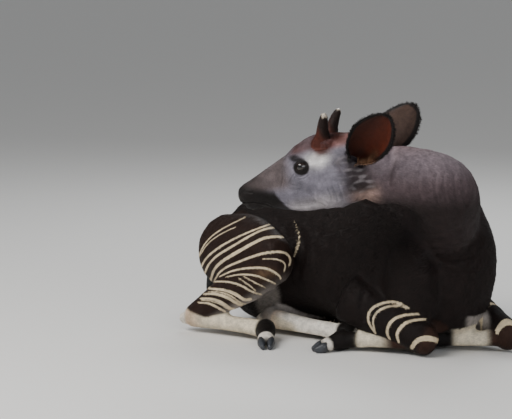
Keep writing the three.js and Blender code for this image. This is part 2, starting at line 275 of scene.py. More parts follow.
def join_meshes(name, meshes, swell):
    corners, faces, start = [], [], 0
    for mesh in meshes:
        co = np.empty(len(mesh.vertices) * 3)
        no = np.empty(len(mesh.vertices) * 3)
        mesh.vertices.foreach_get("co", co)
        mesh.vertices.foreach_get("normal", no)
        corners.append((co + no * swell).reshape(-1, 3))
        faces += [tuple(start + v for v in p.vertices) for p in mesh.polygons]
        start += len(mesh.vertices)
    made = bpy.data.meshes.new(name)
    made.from_pydata(np.concatenate(corners).tolist(), [], faces)
    return made


def new_object(name, mesh):
    obj = bpy.data.objects.new(name, mesh)
    bpy.context.scene.collection.objects.link(obj)
    return obj


def baked(obj):
    """The object's mesh with its modifiers applied, as a plain mesh."""
    bpy.context.view_layer.update()
    graph = bpy.context.evaluated_depsgraph_get()
    result = bpy.data.meshes.new_from_object(obj.evaluated_get(graph))
    obj.modifiers.clear()
    obj.data = result
    return obj


def remeshed(name, meshes, voxel, rounds, swell=0.0008):
    obj = new_object(name, join_meshes(name, meshes, swell))
    modifier = obj.modifiers.new("voxels", "REMESH")
    modifier.mode = "VOXEL"
    modifier.voxel_size = voxel
    if rounds:
        soften = obj.modifiers.new("soften", "SMOOTH")
        soften.factor = 0.5
        soften.iterations = rounds
    return baked(obj)


def ball_mesh(middle, radius):
    mesh = bpy.data.meshes.new("ball")
    work = bmesh.new()
    bmesh.ops.create_uvsphere(work, u_segments=32, v_segments=20, radius=radius)
    bmesh.ops.translate(work, verts=work.verts, vec=middle)
    work.to_mesh(mesh)
    work.free()
    return mesh


eye_fill = [
    ball_mesh(head_to_study(EYE_SEAT * (1, sign, 1)) + SHIFT, (EYE_RADIUS + 3.2) * HEAD_SCALE / 1000)
    for sign in (1, -1)
]
skin = remeshed("skin", [closed_copy(n) for n in FLESH] + eye_fill, SKIN_VOXEL, 7)
print("skin", len(skin.data.vertices), "points")


def mesh_array(mesh, what="co"):
    flat = np.empty(len(mesh.vertices) * 3)
    mesh.vertices.foreach_get(what, flat)
    return flat.reshape(-1, 3)


def set_points(mesh, points):
    mesh.vertices.foreach_set("co", points.astype(float).ravel())
    mesh.update()


# %% [markdown]
# Where the upper limbs join the trunk and neck, the skin is smoothed further, so that no edge of a solid
# shows through. Feet, knees and all that lies low keep their shape.

# %% Soften where the limbs leave the body
def near_rows(points):
    """Nearest row of each point, and how far along that row it lies."""
    parts = [along_row(points, name) for name in ROW_NAMES]
    nearest = np.stack([gap for gap, _ in parts]).argmin(0)
    stations = np.stack([station for _, station in parts])
    return np.array(ROW_NAMES)[nearest], stations[nearest, np.arange(len(points))]


spots = mesh_array(skin.data) - SHIFT
label, station = near_rows(spots)
broad = np.isin(label, ("trunk", "neck")).astype(float)
upper = np.char.startswith(label.astype(str), "forearm")
broad = np.where(upper, smooth(0.75, 0.35, station), broad)
upper = np.char.startswith(label.astype(str), "thigh")
broad = np.where(upper, smooth(1.0, 0.6, station), broad)
broad *= smooth(0.03, 0.09, spots[:, 2])
group = skin.vertex_groups.new(name="broad")
for index in np.flatnonzero(broad > 0.02):
    group.add([int(index)], float(broad[index]), "REPLACE")
soften = skin.modifiers.new("soften", "SMOOTH")
soften.factor = 0.5
soften.iterations = 26
soften.vertex_group = "broad"
baked(skin)
print("softened", int((broad > 0.02).sum()), "points")


# %% [markdown]
# The head and the outer sides of the striped right legs get four faces for one. The points of the head
# then settle on a finer remesh of the head solid.

# %% Denser skin where the detail is
def densify(mesh, chosen):
    """Cuts each chosen face in four, and joins the new points to the coarse skin round it."""
    work = bmesh.new()
    work.from_mesh(mesh)
    work.faces.ensure_lookup_table()
    picked = [work.faces[i] for i in np.flatnonzero(chosen)]
    edges = list({e for f in picked for e in f.edges})
    bmesh.ops.subdivide_edges(work, edges=edges, cuts=1, use_grid_fill=True)
    bmesh.ops.triangulate(work, faces=[f for f in work.faces if len(f.verts) > 4])
    work.to_mesh(mesh)
    work.free()


def face_middles(mesh):
    flat = np.empty(len(mesh.polygons) * 3)
    mesh.polygons.foreach_get("center", flat)
    return flat.reshape(-1, 3)


middles = face_middles(skin.data) - SHIFT
on_head = study_to_head(middles)
head_gap = along_row(middles, "head")[0]
dense = (on_head[:, 0] > 20) & (head_gap < 0.03)
for name in ("thigh_right", "shank_right", "forearm_right"):
    gap, station = along_row(middles, name)
    seen = middles[:, 1] < (-0.12 if "forearm" in name else -0.2)
    dense |= (gap < 0.03) & seen
densify(skin.data, dense)

face = remeshed("face", [closed_copy("head"), closed_copy("neck_upper")] + eye_fill, FACE_VOXEL, 5)
face_tree = BVHTree.FromPolygons(
    [tuple(v.co) for v in face.data.vertices], [tuple(p.vertices) for p in face.data.polygons]
)
points = mesh_array(skin.data)
local = study_to_head(points - SHIFT)
grip = smooth(30, 110, local[:, 0]) * (along_row(points - SHIFT, "head")[0] < 0.03)
for i in np.flatnonzero(grip > 0):
    spot = face_tree.find_nearest(Vector(points[i]))[0]
    points[i] += (np.array(spot) - points[i]) * grip[i]
set_points(skin.data, points)
bpy.data.objects.remove(face)
soften = skin.modifiers.new("soften", "SMOOTH")
soften.factor = 0.4
soften.iterations = 2
baked(skin)
for polygon in skin.data.polygons:
    polygon.use_smooth = True
print("dense skin", len(skin.data.vertices), "points", len(skin.data.polygons), "faces")

# %% [markdown]
# Skin is not smooth: it hangs in folds where the neck turns, creases in front of the cheek and behind
# the jaw, and closes round the eye in two lids. Each fold is a short line; the skin sinks along it and
# rises a little beside it.

# %% Tools for folds
def rounded(line, rounds=3):
    """The line with its corners cut, so that a few points make a soft curve."""
    line = np.array(line, float)
    for _ in range(rounds):
        quarter = line[:-1] * 0.75 + line[1:] * 0.25
        three = line[:-1] * 0.25 + line[1:] * 0.75
        line = np.vstack([line[:1], np.stack([quarter, three], 1).reshape(-1, line.shape[1]), line[-1:]])
    return line


def to_line(spots, line):
    """Distance of each spot from a line, and how far along it the nearest place is."""
    line = rounded(line)
    best = np.full(len(spots), 1e9)
    station = np.zeros(len(spots))
    for i in range(len(line) - 1):
        way = line[i + 1] - line[i]
        t = np.clip((spots - line[i]) @ way / (way @ way), 0, 1)
        gap = np.linalg.norm(spots - line[i] - t[:, None] * way, axis=1)
        closer = gap < best
        best[closer] = gap[closer]
        station[closer] = ((i + t) / (len(line) - 1))[closer]
    return best, station


def fold_depth(gap, station, width, depth):
    """Sunk by depth along the line and raised beside it, fading out at both ends."""
    ends = smooth(0, 0.18, station) * smooth(1, 0.82, station)
    return (-depth * bell(gap, 0, width) + 0.45 * depth * bell(gap, 2.1 * width, width)) * ends


# Folds of the face, in the head frame seen from the side: points, width and depth in millimetres.
FACE_FOLDS = [
    ([(334, 80), (331, 50), (352, 14)], 3.0, 2.2),
    ([(340, 20), (314, -3), (284, -4)], 2.6, 1.8),
    ([(330, 34), (310, 16), (292, 12)], 2.4, 1.2),
    ([(376, -28), (327, -60), (270, -66)], 3.0, 2.0),
    ([(350, -52), (318, -70), (285, -74)], 2.4, 1.2),
    ([(188, -18), (184, -45), (190, -72)], 3.0, 2.0),
    ([(171, -12), (166, -42), (172, -76)], 3.0, 2.2),
    ([(153, -10), (148, -40), (152, -74)], 3.4, 2.0),
    ([(152, 58), (136, 36), (124, 8)], 4.0, 2.6),
    ([(286, 50), (306, 34), (322, 20)], 2.4, 1.8),
    ([(240, 42), (262, 33), (286, 40)], 2.2, 1.6),
    ([(235, 36), (258, 25), (285, 29)], 2.2, 1.0),
    ([(236, 84), (262, 92), (284, 82)], 2.6, 2.4),
    ([(517, -3), (480, -7), (425, -26)], 2.4, 3.0),
    ([(425, -26), (410, -40), (404, -52)], 2.6, 1.6),
    ([(486, 36), (470, 24), (452, 20)], 3.0, 1.6),
]
# Folds of the neck and breast, in picture coordinates and in metres of skin.
NECK_FOLDS = [
    ([(436, 172), (434, 186), (438, 204)], 1.5, 0.0030),
    ([(444, 170), (443, 186), (447, 204)], 1.5, 0.0032),
    ([(454, 173), (454, 188), (458, 202)], 1.5, 0.0028),
    ([(463, 179), (464, 192), (467, 208)], 1.4, 0.0026),
    ([(420, 168), (417, 184), (421, 200)], 1.8, 0.0018),
    ([(405, 160), (401, 178), (405, 196)], 2.0, 0.0014),
    ([(428, 250), (452, 250), (477, 240)], 2.0, 0.0045),
    ([(440, 262), (458, 262), (477, 255)], 1.8, 0.0045),
    ([(452, 273), (466, 272), (480, 266)], 1.8, 0.0035),
    ([(418, 232), (440, 236), (462, 228)], 2.2, 0.0030),
    ([(352, 194), (362, 201), (376, 206)], 1.6, 0.0025),
    ([(358, 188), (370, 196), (384, 201)], 1.6, 0.0020),
    ([(366, 290), (360, 304), (364, 322)], 2.4, 0.0035),
    ([(300, 225), (304, 250), (298, 280)], 3.0, 0.0030),
]

# %% [markdown]
# Round the eyes and on the muzzle, each face is cut in four once more, for lids, lips and nostrils.

# %% Finer skin round the eyes and the muzzle
middles = face_middles(skin.data) - SHIFT
on_head = study_to_head(middles)
from_eye = np.linalg.norm((on_head * (1, 0, 1) - EYE_AT * (1, 0, 1)), axis=1)
fine = (along_row(middles, "head")[0] < 0.03) & (on_head[:, 0] > 40)
fine &= (from_eye < 44) | (on_head[:, 0] > 405)
densify(skin.data, fine)
print("fine skin", len(skin.data.vertices), "points")

# %% [markdown]
# Folds, a rounder forehead, ribs and slow waves of flesh could be sculpted. Here they are sums of one
# height over the skin, less the depth of the coat, so that each can be changed by itself.

# %% Shape the folds
FOREHEAD_RISE = 0.0085
COAT_DEPTH = 0.0016
points = mesh_array(skin.data)
normals = mesh_array(skin.data, "normal")
study = points - SHIFT
local = study_to_head(study)
head_part = smooth(0.035, 0.015, along_row(study, "head")[0]) * smooth(40, 90, local[:, 0])
rise = np.zeros(len(points))
flank = np.abs(local[:, 1]) > 8
for line, width, depth in FACE_FOLDS:
    gap, station = to_line(local[:, [0, 2]], line)
    rise += fold_depth(gap, station, width, depth / 1000) * head_part * flank
picture = in_picture(study)
toward = -(normals @ view_forward)
for line, width, depth in NECK_FOLDS:
    gap, station = to_line(picture, line)
    rise += fold_depth(gap, station, width, depth) * smooth(0.05, 0.35, toward) * (1 - head_part)
rise += FOREHEAD_RISE * bell(local[:, 0], 220, 42) * smooth(70, 100, local[:, 2]) * head_part
wave = np.sin(study @ np.array([70, 31, 17])) * np.sin(study @ np.array([-23, 64, 38]))
wave += 0.6 * np.sin(study @ np.array([41, -87, 52]) + 2) * np.sin(study @ np.array([95, 22, -61]))
rise += 0.0011 * wave * (1 - head_part) * smooth(0.02, 0.1, study[:, 2])
trunk_gap = along_row(study, "trunk")[0]
ribs = np.sin(study[:, 0] * 120 + study[:, 2] * 25) * bell(study[:, 0], -0.1, 0.2) * bell(study[:, 2], 0.3, 0.13)
rise += 0.0012 * ribs * (trunk_gap < 0.03)
rise -= COAT_DEPTH * (1 - 0.5 * head_part)
points = points + normals * rise[:, None]

# %% [markdown]
# A sloping almond opens over each eyeball, with a rounded lid round it.

# %% Open the lids
LID_COS, LID_SIN = 0.97, 0.24
LID_BACK = 2.0
LID_UP = 2.0
for sign in (1, -1):
    middle = EYE_SEAT * (1, sign, 1)
    offset = study_to_head(points - SHIFT) - middle
    reach = np.linalg.norm(offset, axis=1)
    outward = offset[:, 1] * sign > 4
    along = (offset[:, 0] * LID_COS - offset[:, 2] * LID_SIN) + LID_BACK
    across = offset[:, 2] * LID_COS + offset[:, 0] * LID_SIN - LID_UP
    half = np.where(across > 0, 13.5, 11.5) * np.sqrt(np.clip(1 - (along / 25) ** 2, 0.02, 1))
    opening = (along / 20.5) ** 2 + (across / half) ** 2
    near = outward & (reach < 45)
    lid = near * bell(opening, 1.25, 0.5)
    inside = near & (opening < 1)
    target = np.where(inside, EYE_RADIUS - 3.0, np.maximum(reach, EYE_RADIUS + 2.4 + lid))
    keep = near & ((opening < 1) | (reach < EYE_RADIUS + 7))
    pull = np.where(inside, 1.0, smooth(3.2, 1.2, opening)) * keep
    moved = offset * (1 + (target / np.maximum(reach, 1) - 1) * pull)[:, None]
    new_study = head_to_study(moved + middle)
    points = np.where(keep[:, None], new_study + SHIFT, points)

# %% [markdown]
# The skin inside the foot of each ear cup is pushed down, so that the cup stays open.

# %% Make room for the cups of the ears
def ear_axis(sign):
    """Root of an ear and the way to its tip, in the head frame."""
    return np.array([78, sign * 78, 50.0]), unit([-0.75, sign * 0.46, 0.49])


def about_ear(local, sign):
    """How far points lie along an ear's axis, how far aside of it, and the axis."""
    root, way = ear_axis(sign)
    rel = local - root
    depth = rel @ way
    return depth, np.linalg.norm(rel - depth[:, None] * way, axis=1), way


for sign in (1, -1):
    local = study_to_head(points - SHIFT)
    depth, aside, way = about_ear(local, sign)
    push = smooth(42, 30, aside) * np.clip(depth + 14, 0, 75) * (depth < 120)
    local = local - push[:, None] * way
    points = np.where(push[:, None] > 0, head_to_study(local) + SHIFT, points)
set_points(skin.data, points)
print("folds and lids, deepest", round(float(rise.min()) * 1000, 1), "mm")

# %% [markdown]
# An okapi is dark chocolate on the trunk, greyer on the neck and pale on the cheeks, with white stripes
# on the haunches and forearms and white cannons above black fetlocks. The colours are kept on the skin
# as one attribute, so that the skin and every tuft that grows from it can read the same markings.
# Stripes are kept as a distance from their edge, which stays sharp between the points of the mesh.

# %% Colours of the coat
def linear(code):
    parts = np.array([int(code[i : i + 2], 16) / 255 for i in (0, 2, 4)])
    return np.where(parts <= 0.04045, parts / 12.92, ((parts + 0.055) / 1.055) ** 2.4)


CHOCOLATE = linear("150c0a")
HAUNCH_BROWN = linear("28170f")
CROWN_PINK = linear("93635a")
FAR_CREAM_PAINTED_LIGHT = linear("f0eadf")
BREAST = linear("1d1311")
NECK_GREY = linear("5d4e51")
NECK_TOP = linear("93858b")
CREST = linear("6e4236")
CHEEK = linear("726e78")
DARK_PATCH_AND_EAR_SHADOW = linear("251d1e")
JAW = linear("a8a1a4")
BROW_WHITE = linear("d3cfce")
FOREHEAD = linear("4c241a")
MUZZLE = linear("15100f")
NOSE_BRIDGE = linear("5c504e")
THROAT = linear("b29488")
EYE_SKIN = linear("15100f")
KNEE_BROWN = linear("38241c")
CREAM = linear("d9ceb8")
OCHRE = linear("a9744a")
GLOW_TAN = linear("7d6148")
FETLOCK = linear("130e0c")
SOCK = linear("dcd5ca")
INNER_GREY = linear("9a928c")
STRIPE_WHITE = linear("d8c7a8")


def blend_to(color, target, amount):
    amount = np.clip(amount, 0, 1)[:, None]
    return color * (1 - amount) + target * amount


# %% [markdown]
# Each stripe is a line of a few points with a half width at three stations, so that it can swell and
# taper as the real ones do.

# %% Stripes of haunch and forearm
# Each: half width in picture units at the start, middle and end, then its points.
HAUNCH_STRIPES = [
    ((0.35, 0.55, 0.4), [(197.5, 259), (203, 246), (212, 235.5), (226, 226.5), (246, 217)]),
    ((0.3, 0.45, 0.3), [(199, 257), (207.5, 243), (222, 233), (236, 227)]),
    ((0.6, 0.9, 0.5), [(199, 276), (202, 264), (210, 253.5), (229, 241), (252, 230.5), (274, 223)]),
    ((0.6, 1.0, 0.7), [(203, 284), (205.5, 269), (214, 257.5), (226, 250), (252, 234.5), (267, 228), (284, 227.6)]),
    ((0.8, 1.5, 0.9), [(209, 288), (213, 270), (222, 261), (234, 254), (252, 243.6), (267, 236.4), (291, 237.3)]),
    ((0.6, 1.1, 0.8), [(214, 281), (221, 269.5), (240, 261), (263, 252.8), (284, 251), (291, 258), (289, 266)]),
    ((0.4, 0.7, 0.5), [(262, 259), (276, 258.5), (286, 263), (284, 272)]),
    ((0.5, 1.0, 0.6), [(219, 277), (233, 270), (252, 267.5), (268, 268), (279, 275), (281, 279)]),
    ((0.4, 0.8, 0.5), [(226, 277), (240, 274), (256, 275), (270, 281), (276, 284)]),
    ((0.5, 0.9, 0.6), [(213, 281.5), (229, 281.5), (241, 285), (252, 292), (262, 294.5)]),
    ((0.6, 1.5, 1.0), [(208, 288.5), (224, 289.5), (236, 294), (244, 300), (252, 299)]),
    ((0.6, 1.4, 0.8), [(203, 294), (216, 293.5), (228, 297.5), (238, 304), (243, 305)]),
    ((0.6, 1.3, 0.8), [(200, 298.5), (213, 298.5), (223, 303), (231, 309), (235, 309)]),
    ((0.5, 1.0, 0.7), [(198, 302.5), (209, 303), (218, 307.5), (226, 312)]),
    ((0.3, 0.6, 0.4), [(208, 291.6), (221, 291.8), (232, 296), (240.5, 303), (246, 304)]),
    ((0.3, 0.5, 0.4), [(201, 300), (213, 301), (224.5, 306), (231, 311)]),
    ((0.3, 0.6, 0.4), [(238, 277.5), (248, 284), (256, 291)]),
    ((0.3, 0.6, 0.4), [(243, 276), (256, 283), (266, 288)]),
]
FOREARM_STRIPES = [
    ((0.7, 1.2, 0.8), [(376, 334), (368.5, 324), (367.5, 313), (377, 304), (396, 300.5), (410, 308.5)]),
    ((0.6, 1.0, 0.6), [(375, 332), (371.8, 319), (379.6, 308.6), (396, 304.6), (409, 308.5)]),
    ((0.8, 1.4, 0.9), [(390, 340), (386, 332), (390, 321.5), (401, 315), (420, 313.6)]),
    ((0.8, 1.5, 0.9), [(399, 343), (396, 334.5), (401.2, 325.8), (410, 320.4), (426, 319)]),
    ((1.6, 2.4, 1.8), [(411, 349), (416, 340.4), (427, 337.4), (441.5, 341.5), (446, 350)]),
]


FLANK_STRIPES = [
    ((0.4, 0.8, 0.4), [(294, 221), (299.5, 232), (299, 246), (293, 259), (286, 272)]),
]


def stripe_field(spots, stripes):
    """How far inside the nearest stripe each spot lies, in picture units: above zero is white."""
    field = np.full(len(spots), -9.0)
    for widths, line in stripes:
        gap, station = to_line(spots, line)
        ends = smooth(-0.02, 0.06, station) * smooth(1.02, 0.94, station)
        half = 1.12 * np.interp(station, (0, 0.5, 1), widths) * ends
        field = np.maximum(field, half - gap)
    return field


def mapped(points, side, corners):
    """Picture places of the same spots on the right leg, for points of either leg."""
    if side == "right":
        return in_picture(points)
    here, there = LEGS["left"], LEGS["right"]
    a, b, c = (here[k] for k in corners)
    basis = np.array([b - a, c - b])
    parts = (points - a) @ np.linalg.pinv(basis)
    spots = in_picture(np.array([there[k] for k in corners]))
    return spots[0] + parts[:, :1] * (spots[1] - spots[0]) + parts[:, 1:] * (spots[2] - spots[1])


# %% [markdown]
# Every mark is a soft mask on the rows of the body map or in the head frame.

# %% Paint the skin
def mottle(spots, size, seed):
    """Soft uneven patches, from -1 to 1, about as wide as size."""
    dice = np.random.default_rng(seed)
    total = np.zeros(len(spots))
    for _ in range(9):
        way = unit(dice.normal(size=3)) / (size * dice.uniform(0.6, 1.5))
        total += np.sin(spots @ way * 2.4 + dice.uniform(0, 6.3))
    return np.clip(total / 3.6, -1, 1)


def marks(points):
    """Coat colour, stripe field, part of the body and share of the head, at points of the skin."""
    count = len(points)
    gaps, stations = {}, {}
    for name in ROW_NAMES:
        gaps[name], stations[name] = along_row(points, name)
    table = np.stack([gaps[n] for n in ROW_NAMES])
    label = np.array(ROW_NAMES)[table.argmin(0)]

    nearest, second = np.partition(table, 1, axis=0)[:2]

    def share(name, soft=0.02):
        rival = np.where(gaps[name] <= nearest, second, nearest)
        return smooth(soft, -soft, gaps[name] - rival)

    local = study_to_head(points)
    x, y, z = local.T
    picture = in_picture(points)
    color = np.tile(CHOCOLATE, (count, 1))
    breast = smooth(0.42, 0.58, points[:, 0]) * smooth(0.04, 0.3, points[:, 2])
    color = blend_to(color, BREAST, 0.8 * breast)
    neck = share("neck", 0.04) + share("head", 0.04)
    # The neck is greyer above. Low down it stays dark: partly the coat's own darker brown, partly painted shade under
    # the neck.
    high = smooth(0.545, 0.67, points[:, 2])
    color = blend_to(color, NECK_GREY, neck * (0.08 + 0.9 * high))
    crown = smooth(0.63, 0.74, points[:, 2])
    color = blend_to(color, NECK_TOP, neck * crown * 0.8)
    crest = neck * bell(points[:, 2], 0.80, 0.035) * smooth(0.3, 0.5, points[:, 0])
    color = blend_to(color, CREST, crest * 0.55)
    # the face
    head = smooth(0.05, 0.0, gaps["head"]) * smooth(10, 75, x)
    near_cheek = smooth(60, 150, x + 0.4 * z)
    color = blend_to(color, CHEEK, head * near_cheek)
    color = blend_to(color, JAW, head * smooth(-20, -70, z) * smooth(120, 200, x) * smooth(370, 330, x) * 0.9)
    color = blend_to(color, THROAT, head * smooth(-25, -80, z) * smooth(160, 90, x) * 0.75)
    bridge = smooth(285, 345, x) * smooth(-10, 30, z)
    color = blend_to(color, NOSE_BRIDGE, head * bridge * 0.85)
    white = bell(np.hypot((x - 200) / 1.5, z - 76), 0, 22) * smooth(30, 60, np.abs(y))
    color = blend_to(color, BROW_WHITE, head * np.clip(white * 1.5, 0, 1))
    rust = smooth(100, 124, z + 0.06 * (x - 200)) * smooth(85, 130, x) * smooth(325, 265, x)
    crown = smooth(88, 112, z) * smooth(55, 90, x) * smooth(165, 130, x)
    color = blend_to(color, CROWN_PINK, head * crown * 0.75)
    at_horn = np.hypot(x - 186, np.abs(y) - 44)
    rust = np.maximum(rust, smooth(58, 34, at_horn + 6 * mottle(local, 14, 6)) * smooth(70, 95, z))
    color = blend_to(color, FOREHEAD, head * rust * 0.95)
    # Painted shadow of the brow and the upper lashes, darkening the skin above the eye.
    brow_shadow = smooth(1.35, 0.55, np.hypot((x - 271) / 27, (z - 95 - 0.25 * (x - 271)) / 11))
    brow_shadow = brow_shadow * smooth(25, 45, np.abs(y))
    color = blend_to(color, EYE_SKIN, head * brow_shadow * 0.9)
    eye_ring = smooth(29, 22, np.hypot((x - 256) / 1.08, z - 64)) * (np.abs(y) > 40)
    color = blend_to(color, EYE_SKIN, head * eye_ring)
    color = blend_to(color, MUZZLE * 2.5, head * smooth(365, 452, x) * 0.8)
    edge = np.interp(x, (335, 358, 382, 447, 499, 530), (-120, -49, 5, 27, 56, 90))
    lips = np.maximum(smooth(15, -13, z - edge) * smooth(338, 356, x), smooth(484, 508, x))
    color = blend_to(color, MUZZLE, head * lips)
    # Painted shade darkens the skin along a fold at the back of the face.
    painted_crease_shade = bell(np.hypot((x - 136) / 0.8, (z - 34) / 2.2), 0, 12) * (np.abs(y) > 40)
    color = blend_to(color, NECK_GREY * 0.6, head * painted_crease_shade * 0.4)
    # Behind the cheek and under the ear: a dark patch of the coat, with painted shadow under the ear in it.
    behind = smooth(168, 96, x + 12 * mottle(local, 22, 5)) * smooth(-84, -44, z) * smooth(84, 50, z)
    color = blend_to(color, DARK_PATCH_AND_EAR_SHADOW, head * behind * 0.88)
    streak = smooth(0.0, 1.0, mottle(local * (0.45, 1, 1), 9, 8))
    color = blend_to(color, JAW, head * behind * streak * 0.32)
    color = color * (1 + 0.20 * mottle(local * (0.45, 1, 1), 17, 3) * head)[:, None]
    # the legs
    field = np.full(count, -9.0)
    for side in ("right", "left"):
        thigh = np.maximum(share("thigh_" + side, 0.006), share("shank_" + side, 0.006))
        spots = mapped(points, side, ("hip", "stifle", "hock"))
        outside = (side_of_leg(points, side) > 0.012) | (side == "right") | (points[:, 1] > 0.12)
        limit = nearest + (0.055 if side == "left" else 0.0) + 1e-9
        near_thigh = np.minimum(gaps["thigh_" + side], gaps["shank_" + side]) < limit
        near_thigh &= np.isin(label, ("thigh_" + side, "shank_" + side, "trunk"))
        own = np.where(near_thigh & outside, stripe_field(spots, HAUNCH_STRIPES), -9.0)
        field = np.maximum(field, own)
        glow = bell(np.hypot(spots[:, 0] - 265, (spots[:, 1] - 273) * 1.6), 0, 9)
        color = blend_to(color, HAUNCH_BROWN, thigh * 0.75)
        color = blend_to(color, GLOW_TAN, glow * thigh * 0.5)
        inner = thigh * smooth(0.01, -0.05, side_of_leg(points, side))
        if side == "left":
            inner = inner * smooth(0.12, 0.05, points[:, 1])
        color = blend_to(color, INNER_GREY, inner * smooth(0.3, 0.12, points[:, 2]) * 0.9)
        fore = share("forearm_" + side, 0.006)
        spots = mapped(points, side, ("elbow", "knee", "fore_fetlock"))
        near_fore = gaps["forearm_" + side] < nearest + (0.04 if side == "right" else 0.0) + 1e-9
        near_fore &= ~np.isin(label, [end + "_cannon_" + side for end in ("fore", "hind")])
        field = np.maximum(field, np.where(near_fore, stripe_field(spots, FOREARM_STRIPES), -9.0))
        knee = fore * smooth(0.9, 1.0, stations["forearm_" + side])
        color = blend_to(color, KNEE_BROWN, knee * 0.8)
        for end in ("fore", "hind"):
            t = stations[end + "_cannon_" + side]
            cannon = share(end + "_cannon_" + side, 0.005)
            # The far hind cannon gets a lighter cream: painted light, lifting it out of the shade under the belly.
            pale = FAR_CREAM_PAINTED_LIGHT if (end, side) == ("hind", "left") else CREAM
            browning = smooth(0.54, 0.28, t) if side == "right" else smooth(0.2, 0.06, t)
            shade = blend_to(np.tile(pale, (count, 1)), KNEE_BROWN, browning * (end == "fore"))
            shade = blend_to(shade, OCHRE, smooth(0.25, 0.0, t) * 0.45 * (end == "hind"))
            dark = smooth(0.76, 0.83, t) if end == "fore" else smooth(0.90, 0.95, t)
            # Painted shade: the far fore cannon is darkened past a line in picture coordinates, next to the breast.
            if (end, side) == ("fore", "left"):
                dark = np.maximum(dark, smooth(457, 450, picture[:, 0]))
            shade = blend_to(shade, FETLOCK, dark)
            color = blend_to(color, shade, cannon)
            t = stations[end + "_foot_" + side]
            foot = share(end + "_foot_" + side, 0.005)
            white_from, white_to = (0.50, 0.78) if side == "right" else (0.26, 0.68)
            white = smooth(white_from, white_from + 0.06, t) * smooth(white_to, white_to - 0.07, t)
            shade = blend_to(np.tile(FETLOCK, (count, 1)), SOCK, white)
            color = blend_to(color, shade, foot)
        joint = LEGS[side]["hock"]
        from_hock = points - joint
        back = unit(joint - LEGS[side]["hind_fetlock"])
        near_hock = smooth(0.15, 0.11, np.linalg.norm(from_hock, axis=1))
        near_hock = near_hock * np.isin(label, ("shank_" + side, "hind_cannon_" + side))
        under = smooth(0.092, 0.080, points[:, 2] + 0.25 * (from_hock @ -back))
        creamy = smooth(0.0, 0.07, from_hock @ -back) * 0.4 + 0.58
        tone = blend_to(np.tile(OCHRE, (count, 1)), CREAM, creamy)
        tone = blend_to(tone, SOCK, smooth(0.010, 0.030, from_hock @ back))
        color = blend_to(color, tone, near_hock * under)
        field = np.where(near_hock * under > 0.5, -9.0, field)
    flank = (label == "trunk") * (points[:, 1] < -0.1)
    patch = smooth(1.25, 0.75, np.hypot((picture[:, 0] - 268) / 12, (picture[:, 1] - 298) / 17)) * flank
    color = blend_to(color, INNER_GREY, patch * 0.8)
    field = np.maximum(field, np.where(flank, stripe_field(picture, FLANK_STRIPES), -9.0))
    patch = smooth(1.2, 0.7, np.hypot((picture[:, 0] - 478) / 12, (picture[:, 1] - 322) / 15))
    patch = patch * np.isin(label, ("forearm_left", "trunk")) * (points[:, 2] < 0.14) * (points[:, 0] > 0.45)
    color = blend_to(color, INNER_GREY, patch * 0.9)
    # Painted shade: head skin inside the foot of each ear cup is painted near black, as the shaded hollow of the ear.
    for sign in (1, -1):
        depth, aside, _ = about_ear(local, sign)
        cup = smooth(30, 20, aside) * (depth > -6) * (depth < 120)
        color = blend_to(color, FETLOCK, head * cup)
    grey_shank = (label == "shank_left") * (points[:, 1] < 0.02) * (side_of_leg(points, "left") < 0)
    color = blend_to(color, INNER_GREY, grey_shank * 0.85)
    color = blend_to(color, FETLOCK, share("tail") * smooth(0.55, 0.8, stations["tail"]))
    return color, field, label, head


def side_of_leg(points, side):
    """Distance of points out from the plane of a haunch, away from the body."""
    j = LEGS[side]
    normal = np.cross(j["stifle"] - j["hip"], j["hock"] - j["stifle"])
    normal /= np.linalg.norm(normal)
    if normal[1] * (1 if side == "left" else -1) < 0:
        normal = -normal
    return (points - j["hip"]) @ normal


def put_attribute(mesh, name, kind, values):
    layer = mesh.attributes.get(name) or mesh.attributes.new(name, kind, "POINT")
    key = {"FLOAT_COLOR": "color", "FLOAT_VECTOR": "vector", "FLOAT": "value"}[kind]
    layer.data.foreach_set(key, np.ascontiguousarray(values, dtype=np.float32).ravel())


def put_color(mesh, color):
    put_attribute(mesh, "coat_color", "FLOAT_COLOR", np.hstack([color, np.ones((len(color), 1))]))


study = mesh_array(skin.data) - SHIFT
color, field, label, head_share = marks(study)
put_color(skin.data, color)
put_attribute(skin.data, "stripe", "FLOAT", field)
print("painted", {n: int((label == n).sum()) for n in ("head", "neck", "trunk", "thigh_right")})

# %% [markdown]
# The coat material reads the painted colour, lays the white of the stripes over it with a slightly
# ragged edge, and breaks both up with fine noise, as short hair does. Bump gives the nap of the coat.

# %% Coat material
def add_node(tree, kind, inputs=None, **settings):
    """A node with its settings, and for each input a value or the output that feeds it."""
    made = tree.nodes.new(kind)
    for key, value in settings.items():
        setattr(made, key, value)
    for key, value in (inputs or {}).items():
        if isinstance(value, bpy.types.NodeSocket):
            tree.links.new(value, made.inputs[key])
        else:
            made.inputs[key].default_value = value
    return made


def painted(tree, name):
    """The outputs that read the attribute of this name from the mesh."""
    return add_node(tree, "ShaderNodeAttribute", attribute_name=name).outputs


def noise_on(tree, scale, detail, roughness=0.5):
    """Noise on the object's own coordinates."""
    place = add_node(tree, "ShaderNodeTexCoord").outputs["Object"]
    inputs = {"Vector": place, "Scale": scale, "Detail": detail, "Roughness": roughness}
    return add_node(tree, "ShaderNodeTexNoise", inputs).outputs["Fac"]


def ranged(tree, value, low, high, from_low=0.3, from_high=0.7):
    """The value, stretched from one range to another."""
    inputs = {"Value": value, "From Min": from_low, "From Max": from_high, "To Min": low, "To Max": high}
    return add_node(tree, "ShaderNodeMapRange", inputs).outputs["Result"]


def multiplied(tree, color, factor):
    inputs = {"Factor": 1, "A": color, "B": factor}
    return add_node(tree, "ShaderNodeMix", inputs, data_type="RGBA", blend_type="MULTIPLY").outputs["Result"]


